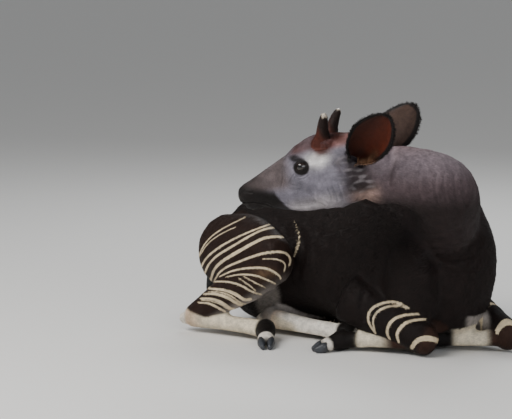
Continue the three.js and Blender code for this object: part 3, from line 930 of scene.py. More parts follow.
def bumped(tree, shader, height, strength, distance):
    bump = add_node(tree, "ShaderNodeBump", {"Height": height, "Strength": strength, "Distance": distance})
    tree.links.new(bump.outputs["Normal"], shader.inputs["Normal"])


RAGGED = 0.9  # how far the edge of a stripe wanders, in picture units
STRIPE_EDGE = (0.2, 0.75)
CLOUD_TONE = (0.72, 1.28)
COAT_FINISH = {"Roughness": 0.58, "Specular IOR Level": 0.18, "Sheen Weight": 0.05, "Sheen Roughness": 0.4}


def coat_material(name, bump):
    material = bpy.data.materials.new(name)
    material.use_nodes = True
    tree = material.node_tree
    shader = tree.nodes["Principled BSDF"]
    wander = {0: noise_on(tree, 260, 2), 1: RAGGED, 2: painted(tree, "stripe")["Fac"]}
    ragged = add_node(tree, "ShaderNodeMath", wander, operation="MULTIPLY_ADD").outputs[0]
    layers = {
        "Factor": ranged(tree, ragged, 0, 1, *STRIPE_EDGE),
        "A": painted(tree, "coat_color")["Color"],
        "B": (*STRIPE_WHITE, 1),
    }
    striped = add_node(tree, "ShaderNodeMix", layers, data_type="RGBA").outputs["Result"]
    clouds = ranged(tree, noise_on(tree, 38, 6, 0.65), *CLOUD_TONE)
    tree.links.new(multiplied(tree, striped, clouds), shader.inputs["Base Color"])
    for socket, value in COAT_FINISH.items():
        shader.inputs[socket].default_value = value
    if bump:
        bumped(tree, shader, noise_on(tree, 420, 3), bump, 0.0012)
    return material


skin_coat = coat_material("skin_coat", 0.35)
skin.data.materials.clear()
skin.data.materials.append(skin_coat)
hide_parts(*FLESH)
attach(skin, "root")

# %% [markdown]
# Small forms are built the same way throughout: rings of points along a curve, closed at both ends.
# Strands do this for many hairs at once, each three-sided and tapered to its tip.

# %% Tools for rings and strands
def mesh_object(name, points, faces, colors=None):
    mesh = bpy.data.meshes.new(name)
    mesh.from_pydata(np.asarray(points).tolist(), [], faces)
    work = bmesh.new()
    work.from_mesh(mesh)
    bmesh.ops.recalc_face_normals(work, faces=work.faces)
    work.to_mesh(mesh)
    work.free()
    mesh.polygons.foreach_set("use_smooth", np.ones(len(mesh.polygons), bool))
    if colors is not None:
        put_color(mesh, colors)
        put_attribute(mesh, "stripe", "FLOAT", np.full(len(colors), -9.0))
    return new_object(name, mesh)


def ring_faces(rings, columns):
    """Quads between rings of points, with a fan of triangles on the last two points as caps."""
    faces = []
    for r in range(rings - 1):
        for c in range(columns):
            d = (c + 1) % columns
            faces.append((r * columns + c, r * columns + d, (r + 1) * columns + d, (r + 1) * columns + c))
    first, last = rings * columns, rings * columns + 1
    for c in range(columns):
        d = (c + 1) % columns
        faces.append((first, d, c))
        faces.append((last, (rings - 1) * columns + c, (rings - 1) * columns + d))
    return faces


def strands(name, lines, widths):
    """Many tapered hairs as one mesh. lines: hair, ring, xyz; widths: hair, ring."""
    count, rings = lines.shape[:2]
    way = unit(np.gradient(lines, axis=1))
    side = unit(np.cross(way, np.tile([0.31, 0.17, 0.93], (count, rings, 1))))
    over = np.cross(side, way)
    corners = []
    for k in range(3):
        turn = 2 * math.pi * k / 3
        corners.append(lines + (side * math.cos(turn) + over * math.sin(turn)) * widths[..., None])
    points = np.stack(corners, 2).reshape(-1, 3)
    pattern = []
    for r in range(rings - 1):
        for c in range(3):
            d = (c + 1) % 3
            pattern += [(r * 3 + c, r * 3 + d, r * 3 + 3 + d), (r * 3 + c, r * 3 + 3 + d, r * 3 + 3 + c)]
    pattern += [(2, 1, 0), (rings * 3 - 3, rings * 3 - 2, rings * 3 - 1)]
    faces = (np.array(pattern)[None] + np.arange(count)[:, None, None] * rings * 3).reshape(-1, 3)
    obj = mesh_object(name, points, faces.tolist())
    roots = np.stack([np.arange(count) % 40 / 40, np.arange(count) // 40 / 40], -1)
    small_patches(obj.data, roots, rings * 3)
    return obj


def small_patches(mesh, roots, points_each):
    """Map OFBake: each hair or tuft takes a patch 0.003 across at its root's place on the skin's unwrap."""
    layer = mesh.uv_layers.get("OFBake") or mesh.uv_layers.new(name="OFBake")
    corner = np.empty(len(mesh.loops), int)
    mesh.loops.foreach_get("vertex_index", corner)
    rank = corner % points_each
    along = rank / max(points_each - 1, 1) - 0.5
    aside = (rank % 3) / 2 - 0.5
    spot = roots[corner // points_each] * 0.994 + 0.003
    spot = spot + np.stack([along, aside], -1) * 0.003
    layer.data.foreach_set("uv", spot.astype(np.float32).ravel())


def put_material(obj, material, node_names):
    obj.data.materials.clear()
    obj.data.materials.append(material)
    if node_names:
        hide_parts(*node_names)
    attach(obj, "root")


def put_hair(mesh, lie, length, density, lift, region=None):
    normals = mesh_array(mesh, "normal")
    lie = lie - normals * np.sum(lie * normals, 1)[:, None]
    put_attribute(mesh, "lie", "FLOAT_VECTOR", unit(lie + 1e-9))
    put_attribute(mesh, "hair_length", "FLOAT", length)
    put_attribute(mesh, "hair_density", "FLOAT", density)
    put_attribute(mesh, "hair_lift", "FLOAT", lift)
    put_attribute(mesh, "region", "FLOAT", np.zeros(len(length)) if region is None else region)


def glossy_material(name, scale, low, high, roughness, coat, bump):
    """Horn, bone and eyes: the painted colour times a soft noise, with a clear coat."""
    material = plain_material(name, (0.5, 0.5, 0.5), roughness)
    tree = material.node_tree
    shader = tree.nodes["Principled BSDF"]
    noise = noise_on(tree, scale, 4)
    color = multiplied(tree, painted(tree, "coat_color")["Color"], ranged(tree, noise, low, high))
    tree.links.new(color, shader.inputs["Base Color"])
    shader.inputs["Coat Weight"].default_value = coat
    shader.inputs["Coat Roughness"].default_value = roughness * 0.5
    if bump:
        bumped(tree, shader, noise, bump, 0.001)
    return material


print("tools for rings and strands")

# %% [markdown]
# The ears are deep cups on a narrow root: rust brown inside and grey brown behind, with a black velvet
# edge, and tan hairs on the lower edge near the root.

# %% Ears
EAR_LENGTH = 226
EAR_WALL = 4.0
EAR_SHAPE = np.array(
    [(-0.08, 23, 150), (0, 25, 150), (0.14, 40, 122), (0.35, 59, 88), (0.58, 66, 68), (0.78, 54, 58),
     (0.92, 33, 50), (0.975, 18, 44), (1, 3, 40)], float
)
EAR_RUST = linear("4e1f10")
EAR_DARK_HAIR_AND_SHADE = linear("361a12")
EAR_BACK = linear("46362f")
EAR_EDGE = linear("15100f")
EAR_CREAM = linear("6e513c")


def ear_size(t, column):
    """Half width or half angle of the ear at t along it, on a soft curve through the table."""
    at = EAR_SHAPE[:, 0]
    slope = np.gradient(EAR_SHAPE[:, column], at)
    i = np.clip(np.searchsorted(at, t, "right") - 1, 0, len(at) - 2)
    span = at[i + 1] - at[i]
    u = (t - at[i]) / span
    a, b = EAR_SHAPE[i, column], EAR_SHAPE[i + 1, column]
    bend = span * (slope[i] * u * (1 - u) ** 2 - slope[i + 1] * u * u * (1 - u))
    return a * (1 + 2 * u) * (1 - u) ** 2 + b * u * u * (3 - 2 * u) + bend


def make_ear(side, sign, rows=46, columns=45):
    """Two sheets, the outer and the inner, closed along the edge and at both ends."""
    root, tip_way = ear_axis(sign)
    facing = np.array([0.11, sign * 0.95, -0.36])
    facing = unit(facing - tip_way * (facing @ tip_way))
    hind = np.cross(tip_way, facing) * sign
    t = -0.08 + 1.08 * np.sin(np.linspace(0, 1, rows) * math.pi / 2 * 0.995)
    t[-1] = 1
    half = ear_size(t, 1)[:, None]
    angle = np.radians(ear_size(t, 2))[:, None]
    v = np.sin(np.linspace(-1, 1, columns) * math.pi / 2)[None, :]
    radius = half / np.sin(np.minimum(angle, math.pi / 2))
    turn = angle * v
    bow = radius[:, 0] - 26 + 22 * np.clip(t, 0, 1) ** 2
    middle = root + tip_way * (t * EAR_LENGTH)[:, None] + facing * bow[:, None]

    def sheet(inward):
        flare = 2.5 * np.abs(v) ** 6 * np.clip(t, 0, 1)[:, None]
        ripple = 1.2 * np.sin(v * 9 + t[:, None] * 7) * np.clip(t[:, None], 0, 1)
        reach = np.maximum(radius - inward + flare + ripple, 1.0)
        out = middle[:, None] - facing * (np.cos(turn) * reach)[..., None]
        return out + hind * (np.sin(turn) * reach)[..., None]

    outer, inner = sheet(0), sheet(EAR_WALL)
    ring = np.concatenate([outer, inner[:, ::-1]], 1)
    points = head_to_study(ring.reshape(-1, 3)) + SHIFT
    faces = []
    wide = 2 * columns
    for r in range(rows - 1):
        for c in range(wide):
            d = (c + 1) % wide
            faces.append((r * wide + c, r * wide + d, (r + 1) * wide + d, (r + 1) * wide + c))
    for base in (0, (rows - 1) * wide):
        for k in range(columns - 1):
            faces.append((base + k, base + k + 1, base + wide - 2 - k, base + wide - 1 - k))
    # colours, from how far each point lies from the edge
    along = np.tile(t[:, None], (1, columns))
    aside = np.tile(v, (rows, 1))
    edge = np.minimum((1 - np.abs(aside)) * angle * radius, (1 - along) * EAR_LENGTH * 1.1)
    cream = smooth(0.42, 0.2, along) * smooth(0.25, 0.7, aside)
    rim = smooth(19, 12, edge) * (1 - cream)
    # Inside, one side of the cup and the hollow near the root are darker: partly dark hair, partly painted shade.
    inside = blend_to(np.tile(EAR_DARK_HAIR_AND_SHADE, (along.size, 1)), EAR_RUST, smooth(-0.55, 0.2, aside).ravel())
    inside = blend_to(inside, EAR_DARK_HAIR_AND_SHADE, (smooth(0.30, 0.05, along) * smooth(0.6, 0.1, aside)).ravel() * 0.85)
    inside = blend_to(inside, EAR_CREAM, cream.ravel() * 0.9)
    inside = blend_to(inside, EAR_EDGE, rim.ravel())
    velvet = smooth(22, 14, edge).ravel() * (1 - cream.ravel())
    outside = blend_to(np.tile(EAR_BACK, (along.size, 1)), EAR_EDGE, velvet)
    shape = (rows, columns, 3)
    colors = np.concatenate([outside.reshape(shape), inside.reshape(shape)[:, ::-1]], 1).reshape(-1, 3)
    ear = mesh_object("ear_" + side + "_cup", points, faces, colors)
    # lie, length and lift of the ear's own hair
    wards = tip_way + hind * (np.sign(aside) * smooth(0.6, 1, np.abs(aside)) * 1.3)[..., None]
    lie = np.concatenate([wards, wards[:, ::-1]], 1).reshape(-1, 3) @ head_axes.T
    fringe = smooth(10, 3, edge)
    length_in = 6.5 + 3.5 * fringe + 12 * cream
    length_out = 7.0 + 2.5 * fringe
    length = np.concatenate([length_out, length_in[:, ::-1]], 1).ravel() / 1000
    lift = np.concatenate([0.06 + 0.2 * fringe, (0.12 + 0.25 * fringe + 0.35 * cream)[:, ::-1]], 1).ravel()
    density = np.concatenate([np.full(along.shape, 70000.0), (45000 + 60000 * fringe)[:, ::-1]], 1).ravel()
    buried = np.concatenate([along, along[:, ::-1]], 1).ravel() < -0.01
    put_hair(ear.data, lie, length, np.where(buried, 0, density), lift)
    return ear


ear_coat = coat_material("ear_coat", 0.25)
ears = {}
for side, sign in (("left", 1), ("right", -1)):
    ears[side] = make_ear(side, sign)
    put_material(ears[side], ear_coat, ["ear_" + side])
print("ears", {s: len(e.data.vertices) for s, e in ears.items()})

# %% [markdown]
# The ossicones are blunt cones on the forehead, in dark hair that turns rust brown at the front of the
# base, with a small bare tip.

# %% Ossicones
def quadratic(spots, s):
    """A soft curve through three spots, at s from 0 to 1."""
    a, b, c = np.array(spots, float)
    s = np.asarray(s)[:, None]
    return a * (1 - s) * (1 - 2 * s) + b * 4 * s * (1 - s) + c * s * (2 * s - 1)


HORN_BASE = linear("4c241a")
HORN_DARK = linear("211613")
HORN_TIP = linear("b3a796")
BARE_FROM = 205  # height in the head frame


def make_ossicone(side, sign, rings=40, columns=28):
    """A leaning cone, flared forwards at its foot."""
    s = np.linspace(-0.12, 1, rings)
    line = quadratic([(180, sign * 44, 112), (166, sign * 56, 162), (136, sign * 88, 212)], s)
    radius = np.interp(s, (-0.12, 0, 0.25, 0.5, 0.8, 0.83, 0.95, 1), (36, 32, 24, 18.5, 14.2, 13, 11, 9))
    radius = radius * np.sqrt(np.clip(1 - np.clip((s - 0.9) / 0.1, 0, 0.94) ** 2, 0, 1))
    way = unit(np.gradient(line, axis=0))
    front = unit(np.cross(way, np.array([0, 1.0, 0])))
    aside = np.cross(front, way)
    turn = np.linspace(0, 2 * math.pi, columns, endpoint=False)
    knob = 1 + 0.035 * np.sin(3 * turn[None] + 5 * s[:, None]) + 0.02 * np.sin(7 * turn[None] - 23 * s[:, None])
    circle = np.cos(turn)[None, :, None] * front[:, None] + np.sin(turn)[None, :, None] * aside[:, None]
    faceward = circle @ np.array([1.0, 0, 0.2])
    flare = 1 + 0.55 * np.clip(faceward, 0, 1) * smooth(0.42, 0.0, s)[:, None]
    points = line[:, None] + circle * (radius[:, None] * knob * flare)[..., None]
    points = np.concatenate([points.reshape(-1, 3), line[:1], line[-1:] + way[-1:] * 1.0])
    height = np.repeat(s, columns)
    rusty = smooth(0.66, 0.15, height - 0.25 * faceward.reshape(-1))
    color = blend_to(np.tile(HORN_DARK, (len(height), 1)), HORN_BASE, rusty)
    collar = 0.02 * np.sin(turn * 4 + 1)[None].repeat(rings, 0).ravel()
    color = blend_to(color, HORN_TIP, smooth(0.92, 0.95, height + collar))
    color = np.vstack([color, color[:1], color[-1:]])
    horn = mesh_object("ossicone_" + side + "_horn", head_to_study(points) + SHIFT, ring_faces(rings, columns), color)
    lie = np.vstack([np.repeat(way, columns, 0), way[:1], way[-1:]]) @ head_axes.T
    height = np.concatenate([height, [-0.12, 1]])
    put_hair(
        horn.data, lie, np.interp(height, (0, 0.3, 0.8), (0.013, 0.008, 0.005)),
        np.where((height > -0.06) & (height < 0.90), 90000.0, 0), np.full(len(height), 0.08),
    )
    return horn


horn_coat = coat_material("ossicone_coat", 0.2)
horn_tip = glossy_material("ossicone_tip_bone", 60, 0.8, 1.15, 0.28, 0.3, 0.15)
horns = {}
for side, sign in (("left", 1), ("right", -1)):
    horn = horns[side] = make_ossicone(side, sign)
    put_material(horn, horn_coat, ["ossicone_" + side])
    horn.data.materials.append(horn_tip)
    middles = np.array([p.center for p in horn.data.polygons])
    tips = study_to_head(middles - SHIFT)[:, 2] > BARE_FROM
    horn.data.polygons.foreach_set("material_index", tips.astype(int))
print("ossicones")

# %% [markdown]
# The eyes are dark and wet, with a long level pupil, under an upper lid with a row of stiff lashes.

# %% Eyes
def make_eye(side, sign, rings=40, columns=56):
    """The ball with a raised clear front, and its iris and pupil as colours."""
    middle = EYE_SEAT * (1, sign, 1)
    gaze = unit([0.10, sign * 1.0, 0.10])
    level = unit(np.cross(np.array([0.0, 0, 1]), gaze))
    over = np.cross(gaze, level)
    s = (np.arange(rings) + 1) / (rings + 1) * math.pi
    turn = np.linspace(0, 2 * math.pi, columns, endpoint=False)
    circle = np.cos(turn)[None, :, None] * level + np.sin(turn)[None, :, None] * over
    flat = np.cos(s)[:, None, None] * gaze + np.sin(s)[:, None, None] * circle
    flat = np.concatenate([flat.reshape(-1, 3), [gaze, -gaze]])
    lean = np.degrees(np.arccos(np.clip(flat @ gaze, -1, 1)))
    points = flat * (EYE_RADIUS * (1 + 0.045 * smooth(38, 18, lean)))[:, None] + middle
    iris = smooth(46, 40, lean)
    pupil = smooth(1.1, 0.9, np.hypot((flat @ level) / 0.40, (flat @ over) / 0.24)) * (lean < 60)
    color = blend_to(np.tile(linear("1a110e"), (len(flat), 1)), linear("22140d"), iris)
    color = blend_to(color, linear("050405"), pupil)
    return mesh_object("eye_" + side + "_ball", head_to_study(points) + SHIFT, ring_faces(rings, columns), color)


eye_wet = glossy_material("wet_eye", 300, 0.75, 1.2, 0.14, 0.5, 0)
for side, sign in (("left", 1), ("right", -1)):
    put_material(make_eye(side, sign), eye_wet, ["eye_" + side])
    spots = np.radians(np.linspace(8, 158, 34))
    lid_along = 22.0 * np.cos(spots) - LID_BACK
    lid_over = 14.8 * np.sin(spots) + LID_UP
    offset = np.stack(
        [lid_along * LID_COS + lid_over * LID_SIN, 0 * spots, lid_over * LID_COS - lid_along * LID_SIN], -1
    )
    left_over = (EYE_RADIUS + 2.6) ** 2 - offset[:, 0] ** 2 - offset[:, 2] ** 2
    offset[:, 1] = sign * np.sqrt(np.clip(left_over, 60, 900))
    outward = unit(offset)
    s = np.linspace(0, 1, 6)[None, :, None]
    fade = np.sin(np.linspace(0.35, 1, len(spots)) * 3.0)
    reach = np.abs((11.5 + 2.5 * np.sin(spots * 7.3))[:, None, None] * fade[:, None, None])
    fan = outward * 0.75 + np.array([0.30, sign * 0.55, -0.05]) + np.cos(spots)[:, None] * np.array([0.35, 0, 0])
    bend = np.array([0.05, sign * 0.05, 0.55])
    starts = (EYE_SEAT * (1, sign, 1) + offset)[:, None]
    lines = starts + unit(fan)[:, None] * s * reach + bend * (s**2) * reach * 0.6
    thick = np.linspace(0.55, 0.08, 6)[None].repeat(len(spots), 0) / 1000
    lash = strands("lashes_" + side, head_to_study(lines) + SHIFT, thick)
    put_material(lash, plain_material("lash_hair_" + side, (0.012, 0.009, 0.008), 0.45), [])
print("eyes and lashes")

# %% [markdown]
# Two hooves to a foot, of dark grey horn with faint growth rings.

# %% Hooves
FLOOR_GAP = 0.0002
hoof_horn = glossy_material("hoof_horn_grown", 45, 0.7, 1.25, 0.42, 0.12, 0)
tree = hoof_horn.node_tree
rings = add_node(tree, "ShaderNodeMath", {0: painted(tree, "growth")["Fac"]}, operation="SINE")
bumped(tree, tree.nodes["Principled BSDF"], rings.outputs[0], 0.35, 0.0006)
HOOF_TOP = linear("202022")
HOOF_LOW = linear("34373d")
for end in ("fore", "hind"):
    for side in ("right", "left"):
        pair = [end + "_hoof_" + side + "_" + k for k in "ab"]
        hoof = remeshed(end + "_hooves_" + side, [closed_copy(n) for n in pair], 0.0024, 5, swell=0.0004)
        points = mesh_array(hoof.data) - SHIFT
        ankle, toe = LEGS[side][end + "_fetlock"], LEGS[side][end + "_toe"]
        way = unit(toe - ankle)
        grown = (points - ankle) @ way / np.linalg.norm(toe - ankle)
        shade = smooth(0.55, 1.05, grown)
        color = HOOF_TOP * (1 - shade[:, None]) + HOOF_LOW * shade[:, None]
        put_color(hoof.data, color)
        put_attribute(hoof.data, "growth", "FLOAT", grown * 95)
        hoof.data.polygons.foreach_set("use_smooth", np.ones(len(hoof.data.polygons), bool))
        floor_level = mesh_array(hoof.data)
        floor_level[:, 2] = np.maximum(floor_level[:, 2], FLOOR_GAP)
        set_points(hoof.data, floor_level)
        put_material(hoof, hoof_horn, pair)
print("eight hooves")

# %% [markdown]
# The tail ends in a tuft of long dark hairs that hang in loose locks.

# %% Tail tuft
rng = np.random.default_rng(11)
TAIL_HAIRS = 520
tail_end = np.array([-712, 66, 118.0])
lock = rng.integers(0, 9, TAIL_HAIRS)
lock_turn = lock / 9 * 2 * math.pi + 0.4
turn = lock_turn + rng.normal(0, 0.35, TAIL_HAIRS)
s = np.linspace(0, 1, 9)
start = tail_end + np.stack([10 * np.cos(turn), 10 * np.sin(turn), rng.uniform(-8, 42, TAIL_HAIRS)], -1)
spread = 12 + 6 * np.cos(lock * 2.1)
belly = np.sin(s * 2.4)
out = spread[:, None] * belly[None] * (0.55 + 0.45 * rng.random((TAIL_HAIRS, 1)))
tips = 16 + 9 * (lock % 3) + rng.uniform(0, 14, TAIL_HAIRS)
fall = (start[:, 2] - tips)[:, None] * s[None]
swing = 3.5 * np.sin(s[None] * 5 + lock[:, None] * 1.7)
lines = np.empty((TAIL_HAIRS, 9, 3))
lines[..., 0] = start[:, :1] + out * np.cos(turn)[:, None] + swing
lines[..., 1] = start[:, 1:2] + out * np.sin(turn)[:, None] + swing * 0.6
lines[..., 2] = np.maximum(start[:, 2:] - fall, 2.0)
thick = np.interp(s, (0, 0.3, 1), (1.3, 1.5, 0.25))[None] * rng.uniform(0.7, 1.2, (TAIL_HAIRS, 1)) / 1000
tail_hair = strands("tail_tuft_hair", lines / 1000 + SHIFT, thick)
tail_black = plain_material("tail_hair", (0.02, 0.014, 0.012), 0.5)
tree = tail_black.node_tree
tail_tone = ranged(tree, noise_on(tree, 90, 4), 0.010, 0.034)
tree.links.new(tail_tone, tree.nodes["Principled BSDF"].inputs["Base Color"])
put_material(tail_hair, tail_black, ["tail_tuft"])
print("tail tuft", len(tail_hair.data.polygons), "faces")

# %% [markdown]
# The coat itself is one small blade of hair, laid many thousand times over the skin by a node group. Each
# skin point says which way the hair lies, how long it is and how far it stands out; a blade takes its
# colour and stripe from the skin under its middle, so the markings keep their edges. The blades are
# smallest on the face and feet, and longest on the crest, the belly and the fringe of the ears.

# %% Unwrap the skin
def unwrap(obj):
    """A map of the surface's own shape, cut into flat patches, named OFBake."""
    obj.data.uv_layers.new(name="OFBake")
    bpy.context.view_layer.objects.active = obj
    for other in bpy.context.selected_objects:
        other.select_set(False)
    obj.select_set(True)
    bpy.ops.object.mode_set(mode="EDIT")
    bpy.ops.mesh.select_all(action="SELECT")
    bpy.ops.uv.smart_project(angle_limit=math.radians(66), island_margin=0.002)
    bpy.ops.object.mode_set(mode="OBJECT")
    obj.select_set(False)


for obj in [skin, *ears.values(), *horns.values()]:
    unwrap(obj)
print("unwrapped", len(skin.data.polygons), "faces of skin")

# %% [markdown]
# Hair lies from head to tail and down the legs, so its lie follows the rows of the body map. Length and
# closeness change from row to row.

# %% Lie, length and closeness of the hair
HAIR = {  # length in metres, blades to a square metre
    "trunk": (0.0150, 40000), "neck": (0.0130, 45000), "head": (0.0066, 105000), "tail": (0.0140, 50000),
    "forearm": (0.0095, 58000), "thigh": (0.0095, 58000), "shank": (0.0085, 66000), "cannon": (0.0078, 76000),
    "foot": (0.0062, 95000),
}
study = mesh_array(skin.data) - SHIFT
normals = mesh_array(skin.data, "normal")
lie = np.zeros_like(study)
hair_length, closeness, weights = np.zeros(len(study)), np.zeros(len(study)), np.zeros(len(study))
for name in ROW_NAMES:
    gap, station = along_row(study, name)
    spine = ROWS[name][0]
    step = np.clip((station * (len(spine) - 1)).astype(int), 0, len(spine) - 2)
    way = unit(spine[step + 1] - spine[step])
    if name in ("trunk", "neck", "head"):
        way = -way + np.array([0, 0, {"trunk": -0.45, "neck": -0.25, "head": 0}[name]])
    if name.startswith("thigh"):
        way = np.tile([-0.5, 0, -0.85], (len(study), 1))
    weight = np.exp(-np.clip(gap, -0.02, 0.4) / 0.012)
    kind = next(k for k in HAIR if k in name)
    lie += unit(way) * weight[:, None]
    hair_length += HAIR[kind][0] * weight
    closeness += HAIR[kind][1] * weight
    weights += weight
hair_length /= weights
closeness /= weights
local = study_to_head(study)
x, y, z = local.T
on_face = head_share
crest = smooth(0.76, 0.80, study[:, 2]) * smooth(0.35, 0.5, study[:, 0]) * (1 - on_face) * (normals[:, 2] > 0.3)
belly = smooth(0.16, 0.06, study[:, 2]) * (label == "trunk")
hair_length *= 1 + 0.5 * crest + 0.2 * belly
forelock = on_face * smooth(92, 112, z) * smooth(120, 150, x) * smooth(235, 200, x)
hair_length += 0.006 * forelock
ear_root = bell(np.linalg.norm(local * (1, 0, 1) - (96, 0, 44), axis=1), 0, 26) * on_face
hair_length += 0.005 * ear_root
muzzle = on_face * smooth(400, 450, x)
hair_length *= 1 - 0.42 * muzzle
lift = 0.05 + 0.16 * crest + 0.14 * forelock + 0.08 * ear_root
for sign in (1, -1):
    offset = local - EYE_AT * (1, sign, 1)
    near_lid = np.hypot(offset[:, 0] / 1.2, offset[:, 2])
    beside = offset[:, 1] * sign > -15
    hair_length = np.where(beside, hair_length * (1 - 0.45 * smooth(36, 20, near_lid)), hair_length)
    closeness = np.where(beside & (near_lid < 17.5), 0, closeness)
closeness = np.where(on_face * (x > 507) > 0.5, 0, closeness)
closeness = np.where(study[:, 2] < 0.0065, 0, closeness)
region = np.select(
    [label == "head", label == "neck", label == "trunk", np.isin(label, ("thigh_right", "shank_right")),
     np.isin(label, ("thigh_left", "shank_left")), np.char.startswith(label.astype(str), "forearm"), label == "tail"],
    [0, 1, 2 + np.clip(((study[:, 0] + 0.45) / 0.24).astype(int), 0, 3), 6, 7, 8, 9], 9,
).astype(float)
put_hair(skin.data, lie, hair_length, closeness, lift, region)
print("hair length", (hair_length.min() * 1000).round(1), "to", (hair_length.max() * 1000).round(1), "mm")

# %% [markdown]
# A blade stands for a small tuft of hairs. It is a slim closed wedge of six triangles with its root under
# the skin, because hundreds of thousands of them have to stay light.

# %% One blade of hair
blade = mesh_object(
    "blade", [(0, 0, -0.10), (0.42, 0.15, 0.03), (0.42, -0.15, 0.03), (0.38, 0, 0.065), (1, 0, 0.05)],
    [(0, 1, 3), (0, 3, 2), (1, 4, 3), (3, 4, 2), (0, 4, 1), (0, 2, 4)],
)
BLADE_POINTS = len(blade.data.vertices)
BLADE_TONE = (0.78, 1.25)  # each blade's colour, times the skin's under it
BLADE_STRETCH = (0.75, 1.25)
BLADE_SWAY = 0.28
blade.data.polygons.foreach_set("use_smooth", np.zeros(len(blade.data.polygons), bool))


# %% [markdown]
# The node group scatters roots, reads the skin under each blade, turns the blade along the lie and makes
# it real geometry.

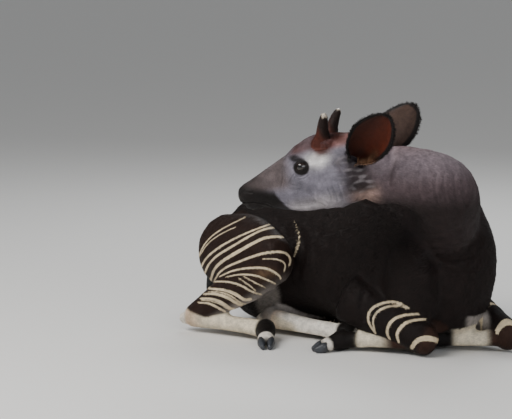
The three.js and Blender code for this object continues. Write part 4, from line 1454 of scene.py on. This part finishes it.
# %% Node group that lays the coat
def coat_nodes():
    tree = bpy.data.node_groups.new("lay_the_coat", "GeometryNodeTree")
    sockets = {}
    for name, kind in (("Geometry", "Geometry"), ("Region", "Float"), ("Coat", "Material")):
        made = tree.interface.new_socket(name, in_out="INPUT", socket_type="NodeSocket" + kind)
        sockets[name] = made.identifier
    tree.interface.new_socket("Geometry", in_out="OUTPUT", socket_type="NodeSocketGeometry")

    def node(kind, inputs=None, **settings):
        return add_node(tree, kind, inputs, **settings)

    def kept(name, kind="FLOAT"):
        reader = node("GeometryNodeInputNamedAttribute", {"Name": name}, data_type=kind)
        return reader.outputs["Attribute"]

    def math_node(operation, a, b):
        return node("ShaderNodeMath", {0: a, 1: b}, operation=operation).outputs[0]

    def chance(low, high, seed):
        inputs = {"Min": low, "Max": high, "Seed": seed}
        return node("FunctionNodeRandomValue", inputs, data_type="FLOAT").outputs["Value"]

    def stored(points, name, kind, value):
        inputs = {"Geometry": points, "Name": name, "Value": value}
        made = node("GeometryNodeStoreNamedAttribute", inputs, data_type=kind, domain="POINT")
        return made.outputs["Geometry"]

    start = node("NodeGroupInput").outputs
    # how many: only the asked region of the skin
    inputs = {"A": kept("region"), "B": start["Region"], "Epsilon": 0.1}
    same = node("FunctionNodeCompare", inputs, data_type="FLOAT", operation="EQUAL")
    density = math_node("MULTIPLY", kept("hair_density"), same.outputs["Result"])
    inputs = {"Mesh": start["Geometry"], "Density": density, "Seed": 5}
    scatter = node("GeometryNodeDistributePointsOnFaces", inputs, distribute_method="RANDOM")
    # colour and stripe under the middle of the blade
    reach = math_node("MULTIPLY", kept("hair_length"), 0.4)
    inputs = {"Vector": kept("lie", "FLOAT_VECTOR"), "Scale": reach}
    to_middle = node("ShaderNodeVectorMath", inputs, operation="SCALE").outputs["Vector"]
    here = node("GeometryNodeInputPosition").outputs[0]
    spot = node("ShaderNodeVectorMath", {0: here, 1: to_middle}, operation="ADD").outputs["Vector"]
    points = scatter.outputs["Points"]
    for name, kind in (("coat_color", "FLOAT_COLOR"), ("stripe", "FLOAT")):
        inputs = {"Mesh": start["Geometry"], "Value": kept(name, kind), "Sample Position": spot}
        value = node("GeometryNodeSampleNearestSurface", inputs, data_type=kind).outputs["Value"]
        if name == "coat_color":
            inputs = {"Vector": value, "Scale": chance(*BLADE_TONE, 3)}
            value = node("ShaderNodeVectorMath", inputs, operation="SCALE").outputs["Vector"]
        points = stored(points, name, kind, value)
    points = stored(points, "root_place", "FLOAT_VECTOR", kept("OFBake", "FLOAT_VECTOR"))
    # along the lie of the coat, tip a little raised
    upright = node("FunctionNodeAlignRotationToVector", {"Vector": scatter.outputs["Normal"]}, axis="Z")
    inputs = {"Rotation": upright.outputs[0], "Vector": kept("lie", "FLOAT_VECTOR")}
    along = node("FunctionNodeAlignRotationToVector", inputs, axis="X", pivot_axis="Z")
    raised = math_node("ADD", kept("hair_lift"), chance(-0.02, 0.09, 8))
    inputs = {"Y": math_node("MULTIPLY", raised, -1.0), "Z": chance(-BLADE_SWAY, BLADE_SWAY, 9)}
    euler = node("FunctionNodeEulerToRotation", {0: node("ShaderNodeCombineXYZ", inputs).outputs[0]})
    inputs = {"Rotation": along.outputs[0], "Rotate By": euler.outputs[0]}
    final = node("FunctionNodeRotateRotation", inputs, rotation_space="LOCAL")
    long = math_node("MULTIPLY", kept("hair_length"), chance(*BLADE_STRETCH, 12))
    wide = math_node("ADD", math_node("MULTIPLY", long, 0.45), 0.0025)
    size = node("ShaderNodeCombineXYZ", {"X": long, "Y": wide, "Z": long})
    pick = node("GeometryNodeObjectInfo", {"Object": blade})
    inputs = {
        "Points": points, "Instance": pick.outputs["Geometry"],
        "Rotation": final.outputs[0], "Scale": size.outputs[0],
    }
    place = node("GeometryNodeInstanceOnPoints", inputs)
    real = node("GeometryNodeRealizeInstances", {"Geometry": place.outputs["Instances"]})
    inputs = {"Geometry": real.outputs["Geometry"], "Material": start["Coat"]}
    finish = node("GeometryNodeSetMaterial", inputs)
    node("NodeGroupOutput", {"Geometry": finish.outputs["Geometry"]})
    return tree, sockets


coat_tree, coat_sockets = coat_nodes()


# %% [markdown]
# The coat is one piece for each region of the body, because one piece of the whole coat would be too big.

# %% Lay the coat, region by region
def lay_coat(name, ground, region, material):
    obj = new_object(name, ground.data)
    modifier = obj.modifiers.new("coat", "NODES")
    modifier.node_group = coat_tree
    modifier[coat_sockets["Region"]] = float(region)
    modifier[coat_sockets["Coat"]] = material
    baked(obj)
    mesh = obj.data
    count = len(mesh.vertices) // BLADE_POINTS
    points = mesh_array(mesh)
    points[:, 2] = np.maximum(points[:, 2], FLOOR_GAP)
    set_points(mesh, points)
    roots = np.empty(len(mesh.vertices) * 3)
    mesh.attributes["root_place"].data.foreach_get("vector", roots)
    roots = roots.reshape(count, BLADE_POINTS, 3)[:, 0, :2]
    for spare in [a.name for a in mesh.attributes if a.name in (
        "root_place", "OFBake", "lie", "hair_length", "hair_density", "hair_lift", "region")]:
        mesh.attributes.remove(mesh.attributes[spare])
    small_patches(mesh, roots, BLADE_POINTS)
    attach(obj, "root")
    print(name, count, "blades", len(mesh.polygons), "triangles")
    return len(mesh.polygons)


hair_coat = coat_material("hair_coat", 0)
total = 0
for number, name in enumerate(
    ("face", "neck", "rump", "loin", "rib", "shoulder", "right_haunch", "left_haunch", "forearm", "lower_leg")
):
    total += lay_coat(name + "_coat", skin, number, hair_coat)
for side in ("left", "right"):
    total += lay_coat("ear_hair_" + side, ears[side], 0, hair_coat)
    total += lay_coat("ossicone_hair_" + side, horns[side], 0, hair_coat)
bpy.data.objects.remove(blade)
print("coat", total, "triangles in all")
